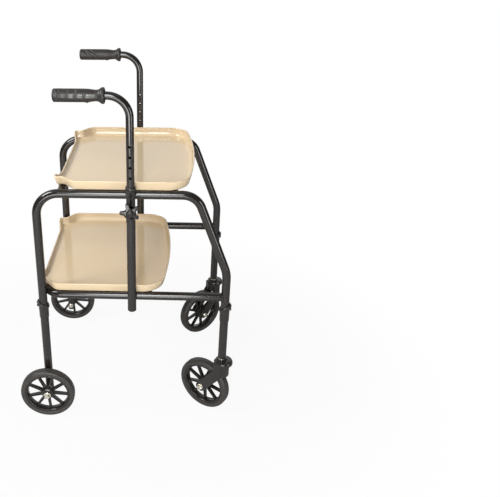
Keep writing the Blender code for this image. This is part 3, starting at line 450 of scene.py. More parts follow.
def skin(bm, loops, closed=False):
    """Faces between neighbouring rings, and over the first and last where they don't close."""
    for first, second in zip(loops, loops[1:]):
        bridge(bm, first, second)
    if closed:
        bridge(bm, loops[-1], loops[0])
    else:
        bm.faces.new(loops[0])
        bm.faces.new(loops[-1])
    return bm


def sweep(stations, normal, sides, closed=False, bm=None):
    """Rings along a path in one plane, from (point, direction, radius) stations."""
    bm = bm or bmesh.new()
    loops = []
    for point, direction, radius in stations:
        up = direction.cross(normal)
        loops.append([bm.verts.new(point + radius * (math.cos(a) * normal + math.sin(a) * up))
                      for a in (2 * math.pi * i / sides for i in range(sides))])
    return skin(bm, loops, closed)


def bent_path(corners, radii, steps):
    """(point, direction) pairs along straight runs with an arc at each inner corner."""
    corners = [Vector(c) for c in corners]
    path = [(corners[0], (corners[1] - corners[0]).normalized())]
    for i, (radius, count) in enumerate(zip(radii, steps), start=1):
        into = (corners[i] - corners[i - 1]).normalized()
        out = (corners[i + 1] - corners[i]).normalized()
        angle = into.angle(out)
        start = corners[i] - into * radius * math.tan(angle / 2)
        side = (out - into * into.dot(out)).normalized()
        for step in range(count + 1):
            a = angle * step / count
            point = start + radius * (math.sin(a) * into + (1 - math.cos(a)) * side)
            path.append((point, math.cos(a) * into + math.sin(a) * side))
    path.append((corners[-1], (corners[-1] - corners[-2]).normalized()))
    return path


def tube(path, radius, wall, normal, sides):
    """A hollow bent tube, open at both ends."""
    out = [(point, direction, radius) for point, direction in path]
    back = [(point, direction, radius - wall) for point, direction in reversed(path)]
    return sweep(out + back, normal, sides, closed=True)


def lathe(profile, sides, closed=False, bm=None, shift=None):
    """Turns (radius, z) points about Z. shift(radius, angle, z) may lift a point."""
    bm = bm or bmesh.new()
    loops = []
    for radius, z in profile:
        if radius == 0:
            loops.append([bm.verts.new((0, 0, z))])
            continue
        loop = []
        for i in range(sides):
            a = 2 * math.pi * i / sides
            lift = shift(radius, a, z) if shift else 0
            loop.append(bm.verts.new((radius * math.cos(a), radius * math.sin(a), z + lift)))
        loops.append(loop)
    pairs = list(zip(loops, loops[1:]))
    if closed:
        pairs.append((loops[-1], loops[0]))
    for first, second in pairs:
        if len(first) == 1 or len(second) == 1:
            apex, loop = (first[0], second) if len(first) == 1 else (second[0], first)
            for i in range(sides):
                bm.faces.new((apex, loop[i], loop[(i + 1) % sides]))
        else:
            bridge(bm, first, second)
    return bm


def prism(outline, low, high, axes, bm=None):
    """A flat outline pushed from low to high along the third of three axes."""
    bm = bm or bmesh.new()
    u, v, w = axes
    loops = [[bm.verts.new(u * p[0] + v * p[1] + w * depth) for p in outline]
             for depth in (low, high)]
    return skin(bm, loops)


def rod(radius, low, high, sides):
    """A plain round bar about Z, for cutting."""
    return lathe([(0, low), (radius, low), (radius, high), (0, high)], sides)


def pin(bm, centre, axis, reaches, radius, sides):
    """A plain round pin through a point, from one reach along its axis to another."""
    normal = AXIS_Y if axis == AXIS_X else AXIS_X
    sweep([(centre + axis * reach, axis, radius) for reach in reaches], normal, sides, bm=bm)


def mirrored(half):
    """A closed profile about z = 0 from its upper half."""
    return half + [(radius, -z) for radius, z in reversed(half)]


def soften(bm, width, angle, segments):
    """Rounds every edge that is sharper than some angle, in degrees."""
    bmesh.ops.recalc_face_normals(bm, faces=bm.faces)
    edges = [e for e in bm.edges if len(e.link_faces) == 2
             and e.calc_face_angle(0) > math.radians(angle)]
    bmesh.ops.bevel(bm, geom=edges, offset=width, segments=segments, profile=0.5,
                    affect="EDGES", clamp_overlap=True)


def at(x, y, z, turn=None):
    """A place in the row frame, and a turn as a matrix."""
    place = Matrix.Translation((x, y, z))
    return place @ turn.to_4x4() if turn else place


def outward(sign):
    """The turn that points a piece's own +Z away from the trolley's middle."""
    return Matrix.Rotation(-sign * math.pi / 2, 3, "X")


# Frame, handles and legs

class TROLLEY_OT_frame(bpy.types.Operator):
    """Bends the side frames and the bottom tube and sets the straight bars between them"""
    bl_idname = "trolley.frame"
    bl_label = "Frame tubes"

    def execute(self, context):
        t = context.scene.trolley_tubes
        top, low_end = TOP_RAIL_Z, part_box("side_frame_left")[0].z
        run = (top - t.knee_height) * math.tan(t.slant)
        for side, sign in SIDES:
            y = sign * HALF_WIDTH
            corners = [(REAR_LEG_X, y, low_end), (REAR_LEG_X, y, top),
                       (FRONT_LEG_X - run, y, top), (FRONT_LEG_X, y, t.knee_height),
                       (FRONT_LEG_X, y, low_end)]
            bends, steps = (t.rear_bend, t.front_bend, t.knee_bend), (14, 12, 6)
            path = bent_path(corners, bends, steps)
            fit(f"side_tube_{side}", tube(path, TUBE_RADIUS, t.wall, AXIS_Y, t.sides), COAT,
                "frame", f"side_frame_{side}")

            low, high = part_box(f"handle_upright_{side}")
            bore = TUBE_RADIUS - t.wall
            profile = [(bore, low.z), (TUBE_RADIUS - TUBE_EDGE, low.z),
                       (TUBE_RADIUS, low.z + TUBE_EDGE), (TUBE_RADIUS, high.z), (bore, high.z)]
            fit(f"upright_{side}", lathe(profile, t.sides, closed=True), COAT, "frame",
                f"handle_upright_{side}", at(UPRIGHT_X, sign * UPRIGHT_Y, 0))

        bar_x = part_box("lower_frame_tube")[0].x + TUBE_RADIUS
        # Its ends, and those of the straight bars, stop inside the tubes that they meet.
        front = FRONT_LEG_X - TUBE_RADIUS * 0.5
        corners = [(front, -HALF_WIDTH, LOW_RAIL_Z), (bar_x, -HALF_WIDTH, LOW_RAIL_Z),
                   (bar_x, HALF_WIDTH, LOW_RAIL_Z), (front, HALF_WIDTH, LOW_RAIL_Z)]
        path = bent_path(corners, (t.low_bend,) * 2, (14, 14))
        fit("bottom_tube", tube(path, TUBE_RADIUS, t.wall, AXIS_Z, t.sides), COAT, "frame",
            "lower_frame_tube")

        for node in ("cross_tube_upper_rear", "cross_tube_upper_front", "cross_tube_lower_front"):
            centre, radius = middle(node), span(node).z / 2
            reach = HALF_WIDTH - TUBE_RADIUS * 0.6
            path = [(Vector((centre.x, y, centre.z)), AXIS_Y) for y in (-reach, reach)]
            fit(node.replace("cross_tube", "bar"), tube(path, radius, t.wall, AXIS_X, t.sides),
                COAT, "frame", node)
        return {"FINISHED"}


class TROLLEY_OT_handles(bpy.types.Operator):
    """Bends the handle tubes, drills their height holes and sets the collars they slide in"""
    bl_idname = "trolley.handles"
    bl_label = "Handle tubes"

    def execute(self, context):
        t = context.scene.trolley_tubes
        for side, sign in SIDES:
            y = sign * UPRIGHT_Y
            low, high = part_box(f"handle_tube_{side}")
            radius = (high.y - low.y) / 2
            top = high.z - radius
            knob_z = middle(f"knob_stud_{side}").z
            path = bent_path([(UPRIGHT_X, y, low.z), (UPRIGHT_X, y, top), (low.x, y, top)],
                             (t.handle_bend,), (16,))
            # A ring on either side of each hole keeps the tube's shading straight past it.
            levels = [knob_z + (step + part) * t.hole_pitch for step in range(-3, 8)
                      for part in (-0.22, 0.22)]
            levels = [z for z in levels if low.z + 0.002 < z < top - t.handle_bend - 0.002]
            path[1:1] = [(Vector((UPRIGHT_X, y, z)), AXIS_Z) for z in levels]
            holes = bmesh.new()
            for step in range(-2, 7):
                centre = Vector((UPRIGHT_X, y, knob_z + step * t.hole_pitch))
                pin(holes, centre, AXIS_Y, (-2 * radius, 2 * radius), t.hole_radius, 20)
            fit(f"handle_{side}", tube(path, radius, t.wall, AXIS_Y, t.sides), COAT,
                f"handle_{side}", f"handle_tube_{side}", steps=[(holes, CUT, HERE)])

            low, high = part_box(f"upright_bush_{side}")
            wide, seat = (high.x - low.x) / 2, TUBE_RADIUS + TOUCH_GAP
            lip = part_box(f"handle_upright_{side}")[1].z
            inner = radius + 0.0004
            profile = [(seat, low.z), (seat + 0.0006, low.z), (seat + 0.0009, low.z + 0.0006),
                       (wide - 0.0003, lip - 0.001), (wide, lip), (wide, lip + 0.0022),
                       (wide - 0.0009, lip + 0.0026), (wide - 0.0009, lip + 0.0040),
                       (wide - 0.0004, lip + 0.0044), (wide - 0.0005, high.z - 0.0022),
                       (wide - 0.0016, high.z - 0.0005), (wide - 0.0028, high.z),
                       (inner + 0.0005, high.z), (inner, high.z - 0.0006),
                       (inner, lip + TOUCH_GAP), (seat, lip + TOUCH_GAP)]
            fit(f"collar_{side}", lathe(profile, 48, closed=True), PLASTIC, "frame",
                f"upright_bush_{side}", at(UPRIGHT_X, y, 0))
        return {"FINISHED"}


def ramp(value, low, high):
    """0 below low, 1 above high and a smooth rise between."""
    share = min(max((value - low) / (high - low), 0), 1)
    return share * share * (3 - 2 * share)


def plateau(value, centre, half, edge):
    """1 within half of a centre, falling to 0 over an edge."""
    return 1 - ramp(abs(value - centre), half, half + edge)


def read_off(line, x):
    """The height at x of a line through rising (x, height) points."""
    for (x0, y0), (x1, y1) in zip(line, line[1:]):
        if x <= x1:
            return y0 + (y1 - y0) * (x - x0) / (x1 - x0)
    return line[-1][1]


def pad_share(t, angle):
    """1 on the smooth finger pads of a grip and 0 off them."""
    # Each has a middle and a half length along the grip, a middle and half width around it,
    # and how smooth it is, which also sets the strength of its painted highlight.
    pads = ((0.065, 0.010, 0.25, 0.16, 0.8), (0.20, 0.035, 0.10, 0.22, 0.4),
            (0.365, 0.038, 0.12, 0.26, 1.0), (0.535, 0.042, 0.12, 0.26, 1.0),
            (0.735, 0.080, 0.12, 0.26, 1.0), (0.31, 0.006, 0.95, 0.10, 0.4),
            (0.46, 0.010, 0.95, 0.10, 0.5))
    return max(part * plateau(t, centre, half, 0.022) * plateau(angle, up, reach, 0.16)
               for centre, half, up, reach, part in pads)


def grip_relief(t, angle, m):
    """How far the grip's skin stands out at a share of its length and an angle from outside."""
    out = m.pad_height * pad_share(t, angle)
    # A knuckle stop stands out under the grip.
    below = -1.57
    out += 0.0016 * plateau(t, 0.66, 0.01, 0.035) * plateau(angle, below, 0.25, 0.3)
    # Slanting grooves cross the rear end outside and the middle inside.
    for line in (0.10 - 0.055 * angle, 0.16 - 0.055 * angle, 0.06 + 0.05 * angle):
        out -= m.groove_depth * plateau(t, line, 0.003, 0.012) * plateau(angle, 0.3, 1.0, 0.3)
    inner = math.pi - abs(angle)
    signed = inner if angle > 0 else -inner
    for middle_share, half in ((0.25, 0.030), (0.41, 0.008)):
        line = middle_share - 0.14 * signed
        out -= (1.5 * m.groove_depth * plateau(t, line, half, 0.018)
                * plateau(signed, 0, 1.1, 0.3))
    return out


class TROLLEY_OT_grips(bpy.types.Operator):
    """Moulds the rubber grips with their pads, grooves and flared front ends"""
    bl_idname = "trolley.grips"
    bl_label = "Grips"

    def execute(self, context):
        m = context.scene.trolley_mouldings
        neck, body, sides, steps, plug = 0.0129, 0.0153, 56, 130, 0.020
        flare = span("grip_right").z / 2
        bore = span("handle_tube_right").y / 2 + TOUCH_GAP
        shape = [(0.0, 0.70), (0.006, 0.86), (0.018, 0.96), (0.035, 1.0), (0.60, 1.0),
                 (0.70, 0.97), (0.82, neck / body), (0.87, 1.04 * neck / body),
                 (0.905, 1.02), (0.925, 1.16), (0.940, 1.20), (0.952, 1.24),
                 (0.962, flare / body), (0.978, flare / body), (0.990, 1.18), (1.0, 0.98)]
        angles = [2 * math.pi * i / sides - math.pi for i in range(sides)]
        for side, sign in SIDES:
            low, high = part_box(f"grip_{side}")
            length, centre = high.x - low.x, middle(f"grip_{side}")
            bm, loops = bmesh.new(), []
            # Each point keeps how glossy it is and how much painted highlight its colour gets.
            pad_polish_and_sheen = bm.verts.layers.float.new("pad_polish_and_sheen")

            def ring(x, radii):
                """Points around the grip's axis, with a radius for each angle."""
                return [bm.verts.new((x, centre.y + sign * r * math.cos(a),
                                      centre.z + r * math.sin(a)))
                        for r, a in zip(radii, angles)]

            for step in range(steps + 1):
                t = step / steps
                t = t if t > 0.02 else t * t / 0.02
                fade = ramp(t, 0.0, 0.03) * (1 - ramp(t, 0.86, 0.92))
                loop = ring(low.x + t * length, [body * read_off(shape, t)
                                                 + fade * grip_relief(t, a, m) for a in angles])
                for vert, a in zip(loop, angles):
                    vert[pad_polish_and_sheen] = pad_share(t, a)
                loops.append(loop)
            loops += [ring(x, [bore] * sides) for x in (high.x, high.x - plug)]
            fit(f"rubber_grip_{side}", skin(bm, loops), RUBBER, f"handle_{side}",
                f"grip_{side}", sharp=60)
        return {"FINISHED"}


def star_outline(m, hub):
    """Five round-ended arms that taper out of a small hub."""
    arms, half, root = 5, m.knob_arm / 2, hub * 0.95
    tip = m.knob_reach - half
    flank = [(root, half * 1.75), ((root + tip) / 2, half * 1.12)]
    local = [(x, -y) for x, y in flank]
    local += [(tip + half * math.cos(a), half * math.sin(a))
              for a in (math.pi * (i / 8 - 0.5) for i in range(9))]
    local += flank[::-1]
    points = []
    for arm in range(arms):
        heading = 2 * math.pi * arm / arms
        points += [(x * math.cos(heading) - y * math.sin(heading),
                    x * math.sin(heading) + y * math.cos(heading)) for x, y in local]
    return points


class TROLLEY_OT_knobs(bpy.types.Operator):
    """Moulds the five-armed height knobs with their pressed-in caps"""
    bl_idname = "trolley.knobs"
    bl_label = "Height knobs"

    def execute(self, context):
        m = context.scene.trolley_mouldings
        hub, stud, cap_stands_out, arm_depth = 0.0092, 0.0043, 0.0015, 0.0105
        for side, sign in SIDES:
            inner, outer = from_middle(f"height_knob_{side}")
            z = middle(f"knob_stud_{side}").z
            back, cap = inner - UPRIGHT_Y, outer - UPRIGHT_Y
            front = cap - cap_stands_out
            arms = front - arm_depth
            profile = [(stud, back), (hub * 0.9, back), (hub * 0.94, back + 0.0005),
                       (hub, arms), (hub, front - 0.0004), (hub * 0.94, front + 0.0004),
                       (hub * 0.90, front + 0.0004), (hub * 0.84, front - 0.0010),
                       (hub * 0.76, front + 0.0006), (hub * 0.6, cap - 0.0001),
                       (hub * 0.46, cap), (hub * 0.38, cap - 0.0010), (0, cap - 0.0010)]
            socket = [(0, back + 0.001), (stud, back + 0.001)]
            angle = -sign * m.knob_turn
            across = Vector((math.cos(angle), math.sin(angle), 0))
            bm = prism(star_outline(m, hub), arms, front, (across, AXIS_Z.cross(across), AXIS_Z))
            # The front of each arm falls away towards its tip.
            for vert in bm.verts:
                if vert.co.z > (arms + front) / 2:
                    vert.co.z -= m.knob_sweep * max(vert.co.xy.length - hub, 0)
            soften(bm, 0.0014, 45, 3)
            lathe(socket + profile, 48, bm=bm)
            fit(f"star_knob_{side}", bm, PLASTIC, f"knob_{side}", f"height_knob_{side}",
                at(UPRIGHT_X, sign * UPRIGHT_Y, z, outward(sign)))
        return {"FINISHED"}


class TROLLEY_OT_legs(bpy.types.Operator):
    """Draws the leg extensions with their reduced necks and lock holes"""
    bl_idname = "trolley.legs"
    bl_label = "Leg extensions"

    def execute(self, context):
        t = context.scene.trolley_tubes
        neck, shoulder = 0.0095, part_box("side_frame_left")[0].z - TOUCH_GAP
        bore, plug, lock_hole = neck - 0.0013, 0.030, 0.0032
        for side, sign, end, x, lock in LEGS:
            node = f"leg_extension_{end}_{side}"
            low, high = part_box(node)
            foot = bore if end == "rear" else STEM_BORE
            profile = [(foot, low.z), (TUBE_RADIUS - TUBE_EDGE, low.z),
                       (TUBE_RADIUS, low.z + TUBE_EDGE), (TUBE_RADIUS, shoulder - 0.0008),
                       (TUBE_RADIUS - 0.0008, shoulder), (neck, shoulder), (neck, high.z),
                       (bore, high.z)]
            if end == "front":
                profile += [(bore, low.z + plug), (foot, low.z + plug)]
            place = at(x, sign * HALF_WIDTH, 0)
            holes = bmesh.new()
            first = middle(f"lock_button_{end}_{side}").z
            for step in range(3):
                centre = Vector((0, 0, first + step * t.hole_pitch))
                pin(holes, centre, AXIS_X, (0, lock * 0.02), lock_hole, 16)
            fit(f"leg_{end}_{side}", lathe(profile, t.sides, closed=True), COAT,
                f"{end}_leg_{side}", node, place, steps=[(holes, CUT, place)])
        return {"FINISHED"}


class TROLLEY_OT_ferrules(bpy.types.Operator):
    """Moulds the leg ferrules with their slanted collars, and the lock buttons"""
    bl_idname = "trolley.ferrules"
    bl_label = "Ferrules and lock buttons"

    def execute(self, context):
        m = context.scene.trolley_mouldings
        ring, bore = middle("lock_button_front_left").z, TUBE_RADIUS + TOUCH_GAP
        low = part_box("leg_ferrule_front_left")[0].z
        lean = math.tan(m.collar_tilt)
        for side, sign, end, x, lock in LEGS:
            tongue = sign * lock * math.pi / 2

            def shift(radius, a, z):
                """Slants the collar, and lets a tongue down from the foot."""
                share = ramp(z, ring - 0.016, ring - 0.004)
                gap = (a - tongue + math.pi) % (2 * math.pi) - math.pi
                drop = 0.0024 * plateau(gap, 0, 0.35, 0.25) * (1 - ramp(z, low, low + 0.01))
                return share * lean * radius * math.cos(a) - drop

            profile = [(bore, low), (0.0117, low), (0.0122, low + 0.0006),
                       (0.0126, low + 0.006), (0.0128, ring - 0.0180), (0.0131, ring - 0.0150),
                       (0.0133, ring - 0.0075), (0.0135, ring - 0.0048),
                       (0.0148, ring - 0.0036), (0.0153, ring - 0.0026),
                       (0.0154, ring + 0.0012), (0.0152, ring + 0.0024),
                       (0.0145, ring + 0.0032), (0.0124, ring + 0.0040),
                       (0.0119, ring + 0.0044), (bore, ring + 0.0044)]
            turn = Matrix.Rotation(0 if lock > 0 else math.pi, 3, "Z")
            place = at(x, sign * HALF_WIDTH, 0, turn)
            near, far, half = 0.0133, 0.030, 0.0054
            window = prism([(near, -half), (far, -half), (far, half), (near, half)],
                           ring - 0.0084, ring + 0.02, IN_PLAN)
            fit(f"ferrule_{end}_{side}", lathe(profile, 64, closed=True, shift=shift), PLASTIC,
                "frame", f"leg_ferrule_{end}_{side}", place, steps=[(window, CUT, place)])

            seat, out, half = 0.0136, 0.0034, 0.005
            upper = [(seat + out * 0.45, 0.0016), (seat + out, 0.0030), (seat + out, 0.0066),
                     (seat + out * 0.7, 0.008), (seat, 0.008)]
            side_view = [(reach, -z) for reach, z in reversed(upper)] + upper
            button = prism(side_view, -half, half, SIDE_ON)
            soften(button, 0.0006, 30, 2)
            pin(button, Vector(), AXIS_X, (0.0100, 0.0150), 0.0028, 20)
            fit(f"button_{end}_{side}", button, PLASTIC, f"{end}_lock_{side}",
                f"lock_button_{end}_{side}", at(x, sign * HALF_WIDTH, ring, turn))
        return {"FINISHED"}


# Wheels and casters

def tyre_mesh(w):
    """Solid tyre with a flat tread, rounded shoulders and a step at the side wall."""
    seat, crown, wide = w.seat, WHEEL_RADIUS, 0.0125
    half = [(seat, 0.86 * wide), (seat + 0.0006, 0.93 * wide), (seat + 0.0022, 0.96 * wide),
            (seat + 0.0034, wide), (crown - 0.0050, wide), (crown - 0.0030, 0.95 * wide),
            (crown - 0.0013, 0.82 * wide), (crown - 0.0003, 0.62 * wide), (crown, 0.40 * wide)]
    return lathe(mirrored(half), 96, closed=True)


def rim_mesh(w, sign):
    """Rim ring with a centre web, tapered I-section spokes and a stepped hub."""
    lip, seat = w.rim_inner, w.seat - TOUCH_GAP
    ring = mirrored([(lip + 0.0012, 0.0094), (lip + 0.0018, 0.0100), (seat - 0.0006, 0.0104),
                     (seat, 0.0100)])
    ring += [(lip + 0.0002, -0.0070), (lip - 0.0006, 0.0), (lip + 0.0002, 0.0070)]
    bm = lathe(ring, 96, closed=True)
    bore, end = 0.0065, 0.0150
    hub = mirrored([(bore, end), (0.0108, end), (0.0115, end - 0.0006), (0.0122, 0.0112),
                    (0.0160, 0.0094), (0.0166, 0.0080)])
    lathe(hub, 48, closed=True, bm=bm)
    root, tip, web_half = 0.0150, lip + 0.0016, 0.0022
    near, far, thick = 0.62 * w.spoke_width, 0.46 * w.spoke_width, 0.0013
    web = [(root, -near), (tip - 0.004, -far), (tip, -far * 1.5), (tip, far * 1.5),
           (tip - 0.004, far), (root, near)]
    flange = [(root, near), (tip - 0.004, far), (tip, far * 1.5), (tip, far * 1.5 - thick),
              (tip - 0.005, far - thick), (root, near - thick)]
    for i in range(w.spokes):
        a = 2 * math.pi * i / w.spokes - sign * w.phase
        u, v = Vector((math.cos(a), math.sin(a), 0)), Vector((-math.sin(a), math.cos(a), 0))
        prism([(x, 0.95 * y) for x, y in web], -web_half, web_half, (u, v, AXIS_Z), bm)
        for edge in (-1, 1):
            outline = [(x, edge * y) for x, y in flange]
            prism(outline, -w.spoke_depth, w.spoke_depth, (u, v, AXIS_Z), bm)
    return bm


def bolt_mesh(head_low, shank_low, flange):
    """Hex bolt with a round washer face or flange under its head."""
    top, shank = head_low + BOLT_HEAD, 0.0040
    bm = lathe([(0, shank_low), (shank - 0.0006, shank_low), (shank, shank_low + 0.0006),
                (shank, head_low), (flange, head_low), (flange, head_low + 0.0009),
                (flange - 0.0006, head_low + 0.0014), (0, head_low + 0.0014)], 40)
    return lathe([(0, head_low + 0.0010), (0.0078, head_low + 0.0010), (0.0078, top - 0.0012),
                  (0.0069, top), (0, top)], 6, bm=bm)


class TROLLEY_OT_wheels(bpy.types.Operator):
    """Makes the tyres, spoked rims and axle bolts of all the wheels"""
    bl_idname = "trolley.wheels"
    bl_label = "Wheels"

    def execute(self, context):
        w = context.scene.trolley_wheels
        for side, sign in SIDES:
            turns = {"rear": outward(sign),
                     "front": Matrix.Rotation(sign * w.swivel, 3, "Z") @ outward(sign)}
            for end, turn in turns.items():
                place = at(*middle(f"{end}_tyre_{side}"), turn)
                body = f"{end}_wheel_{side}"
                fit(f"tyre_{end}_{side}", tyre_mesh(w), TYRE, body, f"{end}_tyre_{side}", place)
                fit(f"rim_{end}_{side}", rim_mesh(w, sign), PLASTIC, body, f"{end}_rim_{side}",
                    place)
            axle = middle(f"rear_tyre_{side}")
            inner, outer = from_middle(f"rear_axle_bolt_{side}")
            fit(f"bolt_rear_{side}", bolt_mesh(outer - BOLT_HEAD, inner, 0.0102), ZINC,
                f"rear_leg_{side}", f"rear_axle_bolt_{side}",
                at(axle.x, 0, axle.z, outward(sign)))
            head, past_fork = FORK_OUTER + TOUCH_GAP, 0.0086
            fit(f"bolt_front_{side}", bolt_mesh(head, -head - past_fork, 0.0086), ZINC,
                f"caster_{side}", f"caster_axle_bolt_{side}",
                at(*middle(f"front_tyre_{side}"), turns["front"]))
        return {"FINISHED"}


class TROLLEY_OT_casters(bpy.types.Operator):
    """Moulds the caster forks with their round heads and broad arms"""
    bl_idname = "trolley.casters"
    bl_label = "Caster forks"

    def execute(self, context):
        w = context.scene.trolley_wheels
        head_x, head, head_low, head_high = 0.0060, 0.0245, 0.168, 0.171
        crown, crown_low, arm_half = 0.0213, 0.130, 0.0145
        for side, sign in SIDES:
            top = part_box(f"caster_washer_{side}")[0].z - TOUCH_GAP
            place = at(FRONT_LEG_X, sign * HALF_WIDTH, 0,
                       Matrix.Rotation(sign * w.swivel, 3, "Z"))
            cup = top - 0.0045
            flange = lathe([(0, head_low), (head - 0.0010, head_low), (head, head_low + 0.0010),
                            (head, cup - 0.0050), (head - 0.0016, cup - 0.0016),
                            (head - 0.0050, cup), (0, cup)], 64)
            bmesh.ops.translate(flange, vec=(head_x, 0, 0), verts=flange.verts)
            dome = lathe([(0, cup - 0.001), (0.0135, cup - 0.001), (0.0135, top - 0.0008),
                          (0.0127, top), (0, top)], 48)
            barrel = lathe([(0, crown_low), (crown - 0.001, crown_low),
                            (crown, crown_low + 0.001), (crown, head_high), (0, head_high)], 56)

            # The arms' outline is round about the axle and runs up into the head.
            axle, neck = Vector((-w.trail, WHEEL_RADIUS)), Vector((-0.002, crown_low + 0.008))
            along = (neck - axle).normalized()
            across = Vector((-along.y, along.x))
            start = math.atan2(across.y, across.x)
            end = [tuple(axle + arm_half * Vector((math.cos(start + a), math.sin(start + a))))
                   for a in (math.pi * i / 14 for i in range(15))]
            upper, lower = neck + across * arm_half, neck - across * arm_half
            back_x = head_x - 0.75 * head
            shoulder = upper + along * (back_x - upper.x) / along.x
            outline = ([(back_x, 0.170), tuple(shoulder)] + end
                       + [tuple(lower), (lower.x, 0.170)])
            arms = prism(outline, -FORK_OUTER, FORK_OUTER, SIDE_ON)
            soften(arms, 0.0009, 40, 2)

            room = rod(WHEEL_RADIUS + 0.0045, -FORK_INNER, FORK_INNER, 72)
            well = lathe([(0, 0.09), (0.0081, 0.09), (0.0081, 0.152), (STEM_BORE, 0.152),
                          (STEM_BORE, top + 0.01), (0, top + 0.01)], 32)
            wheel = place @ at(-w.trail, 0, WHEEL_RADIUS, outward(1))
            steps = [(dome, JOIN, place), (barrel, JOIN, place), (arms, JOIN, place),
                     (room, CUT, wheel), (well, CUT, place),
                     (rod(0.0043, -0.05, 0.05, 32), CUT, wheel)]
            fit(f"fork_{side}", flange, PLASTIC, f"caster_{side}", f"caster_fork_{side}", place,
                steps=steps)
        return {"FINISHED"}


# Trays

def moved_in(corners, inset):
    """Corners of an open clockwise outline after each of its edges moves in by one distance."""
    corners = [Vector(c) for c in corners]
    runs = [(b - a).normalized() for a, b in zip(corners, corners[1:])]
    shifts = [Vector((run.y, -run.x)) * inset for run in runs]
    moved = [corners[0] + shifts[0]]
    for i in range(1, len(runs)):
        across = runs[i - 1].cross(runs[i])
        gap = (corners[i] + shifts[i]) - (corners[i] + shifts[i - 1])
        moved.append(corners[i] + shifts[i - 1] + runs[i - 1] * gap.cross(runs[i]) / across)
    moved.append(corners[-1] + shifts[-1])
    return moved


def between(start, end, steps):
    """The points that cut a straight run into equal steps, without its ends."""
    return [start.lerp(end, i / steps) for i in range(1, steps)]


def tray_half_outline(inset):
    """Points from the middle of the rear edge to the middle of the front edge, in plan."""
    half, neck, overhang, reach = TRAY_HALF_WIDTH, 0.030, 0.0114, 0.0188
    corner, front_reach, bow = 0.062, 0.334, 0.011
    straight_steps, corner_steps, front_steps = 6, 18, 10
    step_y = EAR_Y - EAR_LENGTH
    corners = [(-overhang, 0), (-overhang, step_y - 1.2 * EAR_LENGTH), (-reach, step_y),
               (-reach, EAR_Y), (neck - 0.026, EAR_Y), (neck, half), (neck + corner, half)]
    # Each bend has a radius, the way it turns and its number of steps.
    bends = ((0.080, -1, 3), (0.040, 1, 5), (0.009, 1, 8), (0.012, -1, 8), (0.035, 1, 12))
    moved = moved_in(corners, inset)
    radii = []
    for i, (radius, turn, _) in enumerate(bends, start=1):
        into, out = moved[i] - moved[i - 1], moved[i + 1] - moved[i]
        room = 0.46 * min(into.length, out.length) / math.tan(into.angle(out) / 2)
        radii.append(min(max(radius - turn * inset, 0.001), room))
    flat = [(c.x, c.y, 0) for c in moved]
    path = bent_path(flat, radii, [count for _, _, count in bends])[:-1]
    points = [point for point, _ in path]
    points[1:1] = between(points[0], points[1], straight_steps)
    radius, front, side = corner - inset, front_reach - bow - corner, half - corner
    points += between(points[-1], Vector((front, half - inset, 0)), straight_steps)
    for step in range(corner_steps + 1):
        a = math.pi / 2 * step / corner_steps
        points.append(Vector((front + radius * math.sin(a), side + radius * math.cos(a), 0)))
    for step in range(1, front_steps + 1):
        share = 1 - step / front_steps
        points.append(Vector((front + radius + bow * (1 - share ** 2), side * share, 0)))
    return points


def tray_mesh(t):
    """Open tray with drafted walls, a rounded foot, a rolled rim and a low rear wall."""
    heights = []
    for point in tray_half_outline(0.0):
        if point.x < 0:
            share = ramp(point.y, EAR_Y - 0.037, EAR_Y - 0.020)
            heights.append(t.rear_height + share * (t.ear_height - t.rear_height))
        else:
            share = ramp(point.x, 0.0, 0.012)
            heights.append(t.ear_height + share * (t.rim_height - t.ear_height))
    bm = bmesh.new()

    def loop(inset, levels):
        """Points of the wall at one inset from the rim's outside, at a level for each point."""
        half = []
        for top, low, z in zip(tray_half_outline(inset), tray_half_outline(inset + t.draft),
                               levels):
            point = low + (top - low) * z / t.rim_height
            half.append(Vector((point.x, point.y, z)))
        whole = half + [Vector((p.x, -p.y, p.z)) for p in reversed(half[1:-1])]
        return [bm.verts.new(p) for p in whole]

    # A flat margin around the floor, inside and outside, keeps its mirror image straight.
    margin = 0.0015
    loops = [loop(t.foot + margin, [0.0] * len(heights))]
    quarter = [math.pi / 2 * i / 5 for i in range(6)]
    for a in quarter:
        z = t.foot * (1 - math.cos(a))
        loops.append(loop(t.foot * (1 - math.sin(a)), [z] * len(heights)))
    for i in range(9):
        a = math.pi * i / 8
        inset = t.bead * (1 - math.cos(a))
        loops.append(loop(inset, [h - t.bead + t.bead * math.sin(a) for h in heights]))
    loops.append(loop(t.wall, [h - 2.1 * t.bead for h in heights]))
    for a in quarter:
        z = t.wall + t.cove * (1 - math.sin(a))
        loops.append(loop(t.wall + t.cove * (1 - math.cos(a)), [z] * len(heights)))
    loops.append(loop(t.wall + t.cove + margin, [t.wall] * len(heights)))
    return skin(bm, loops)


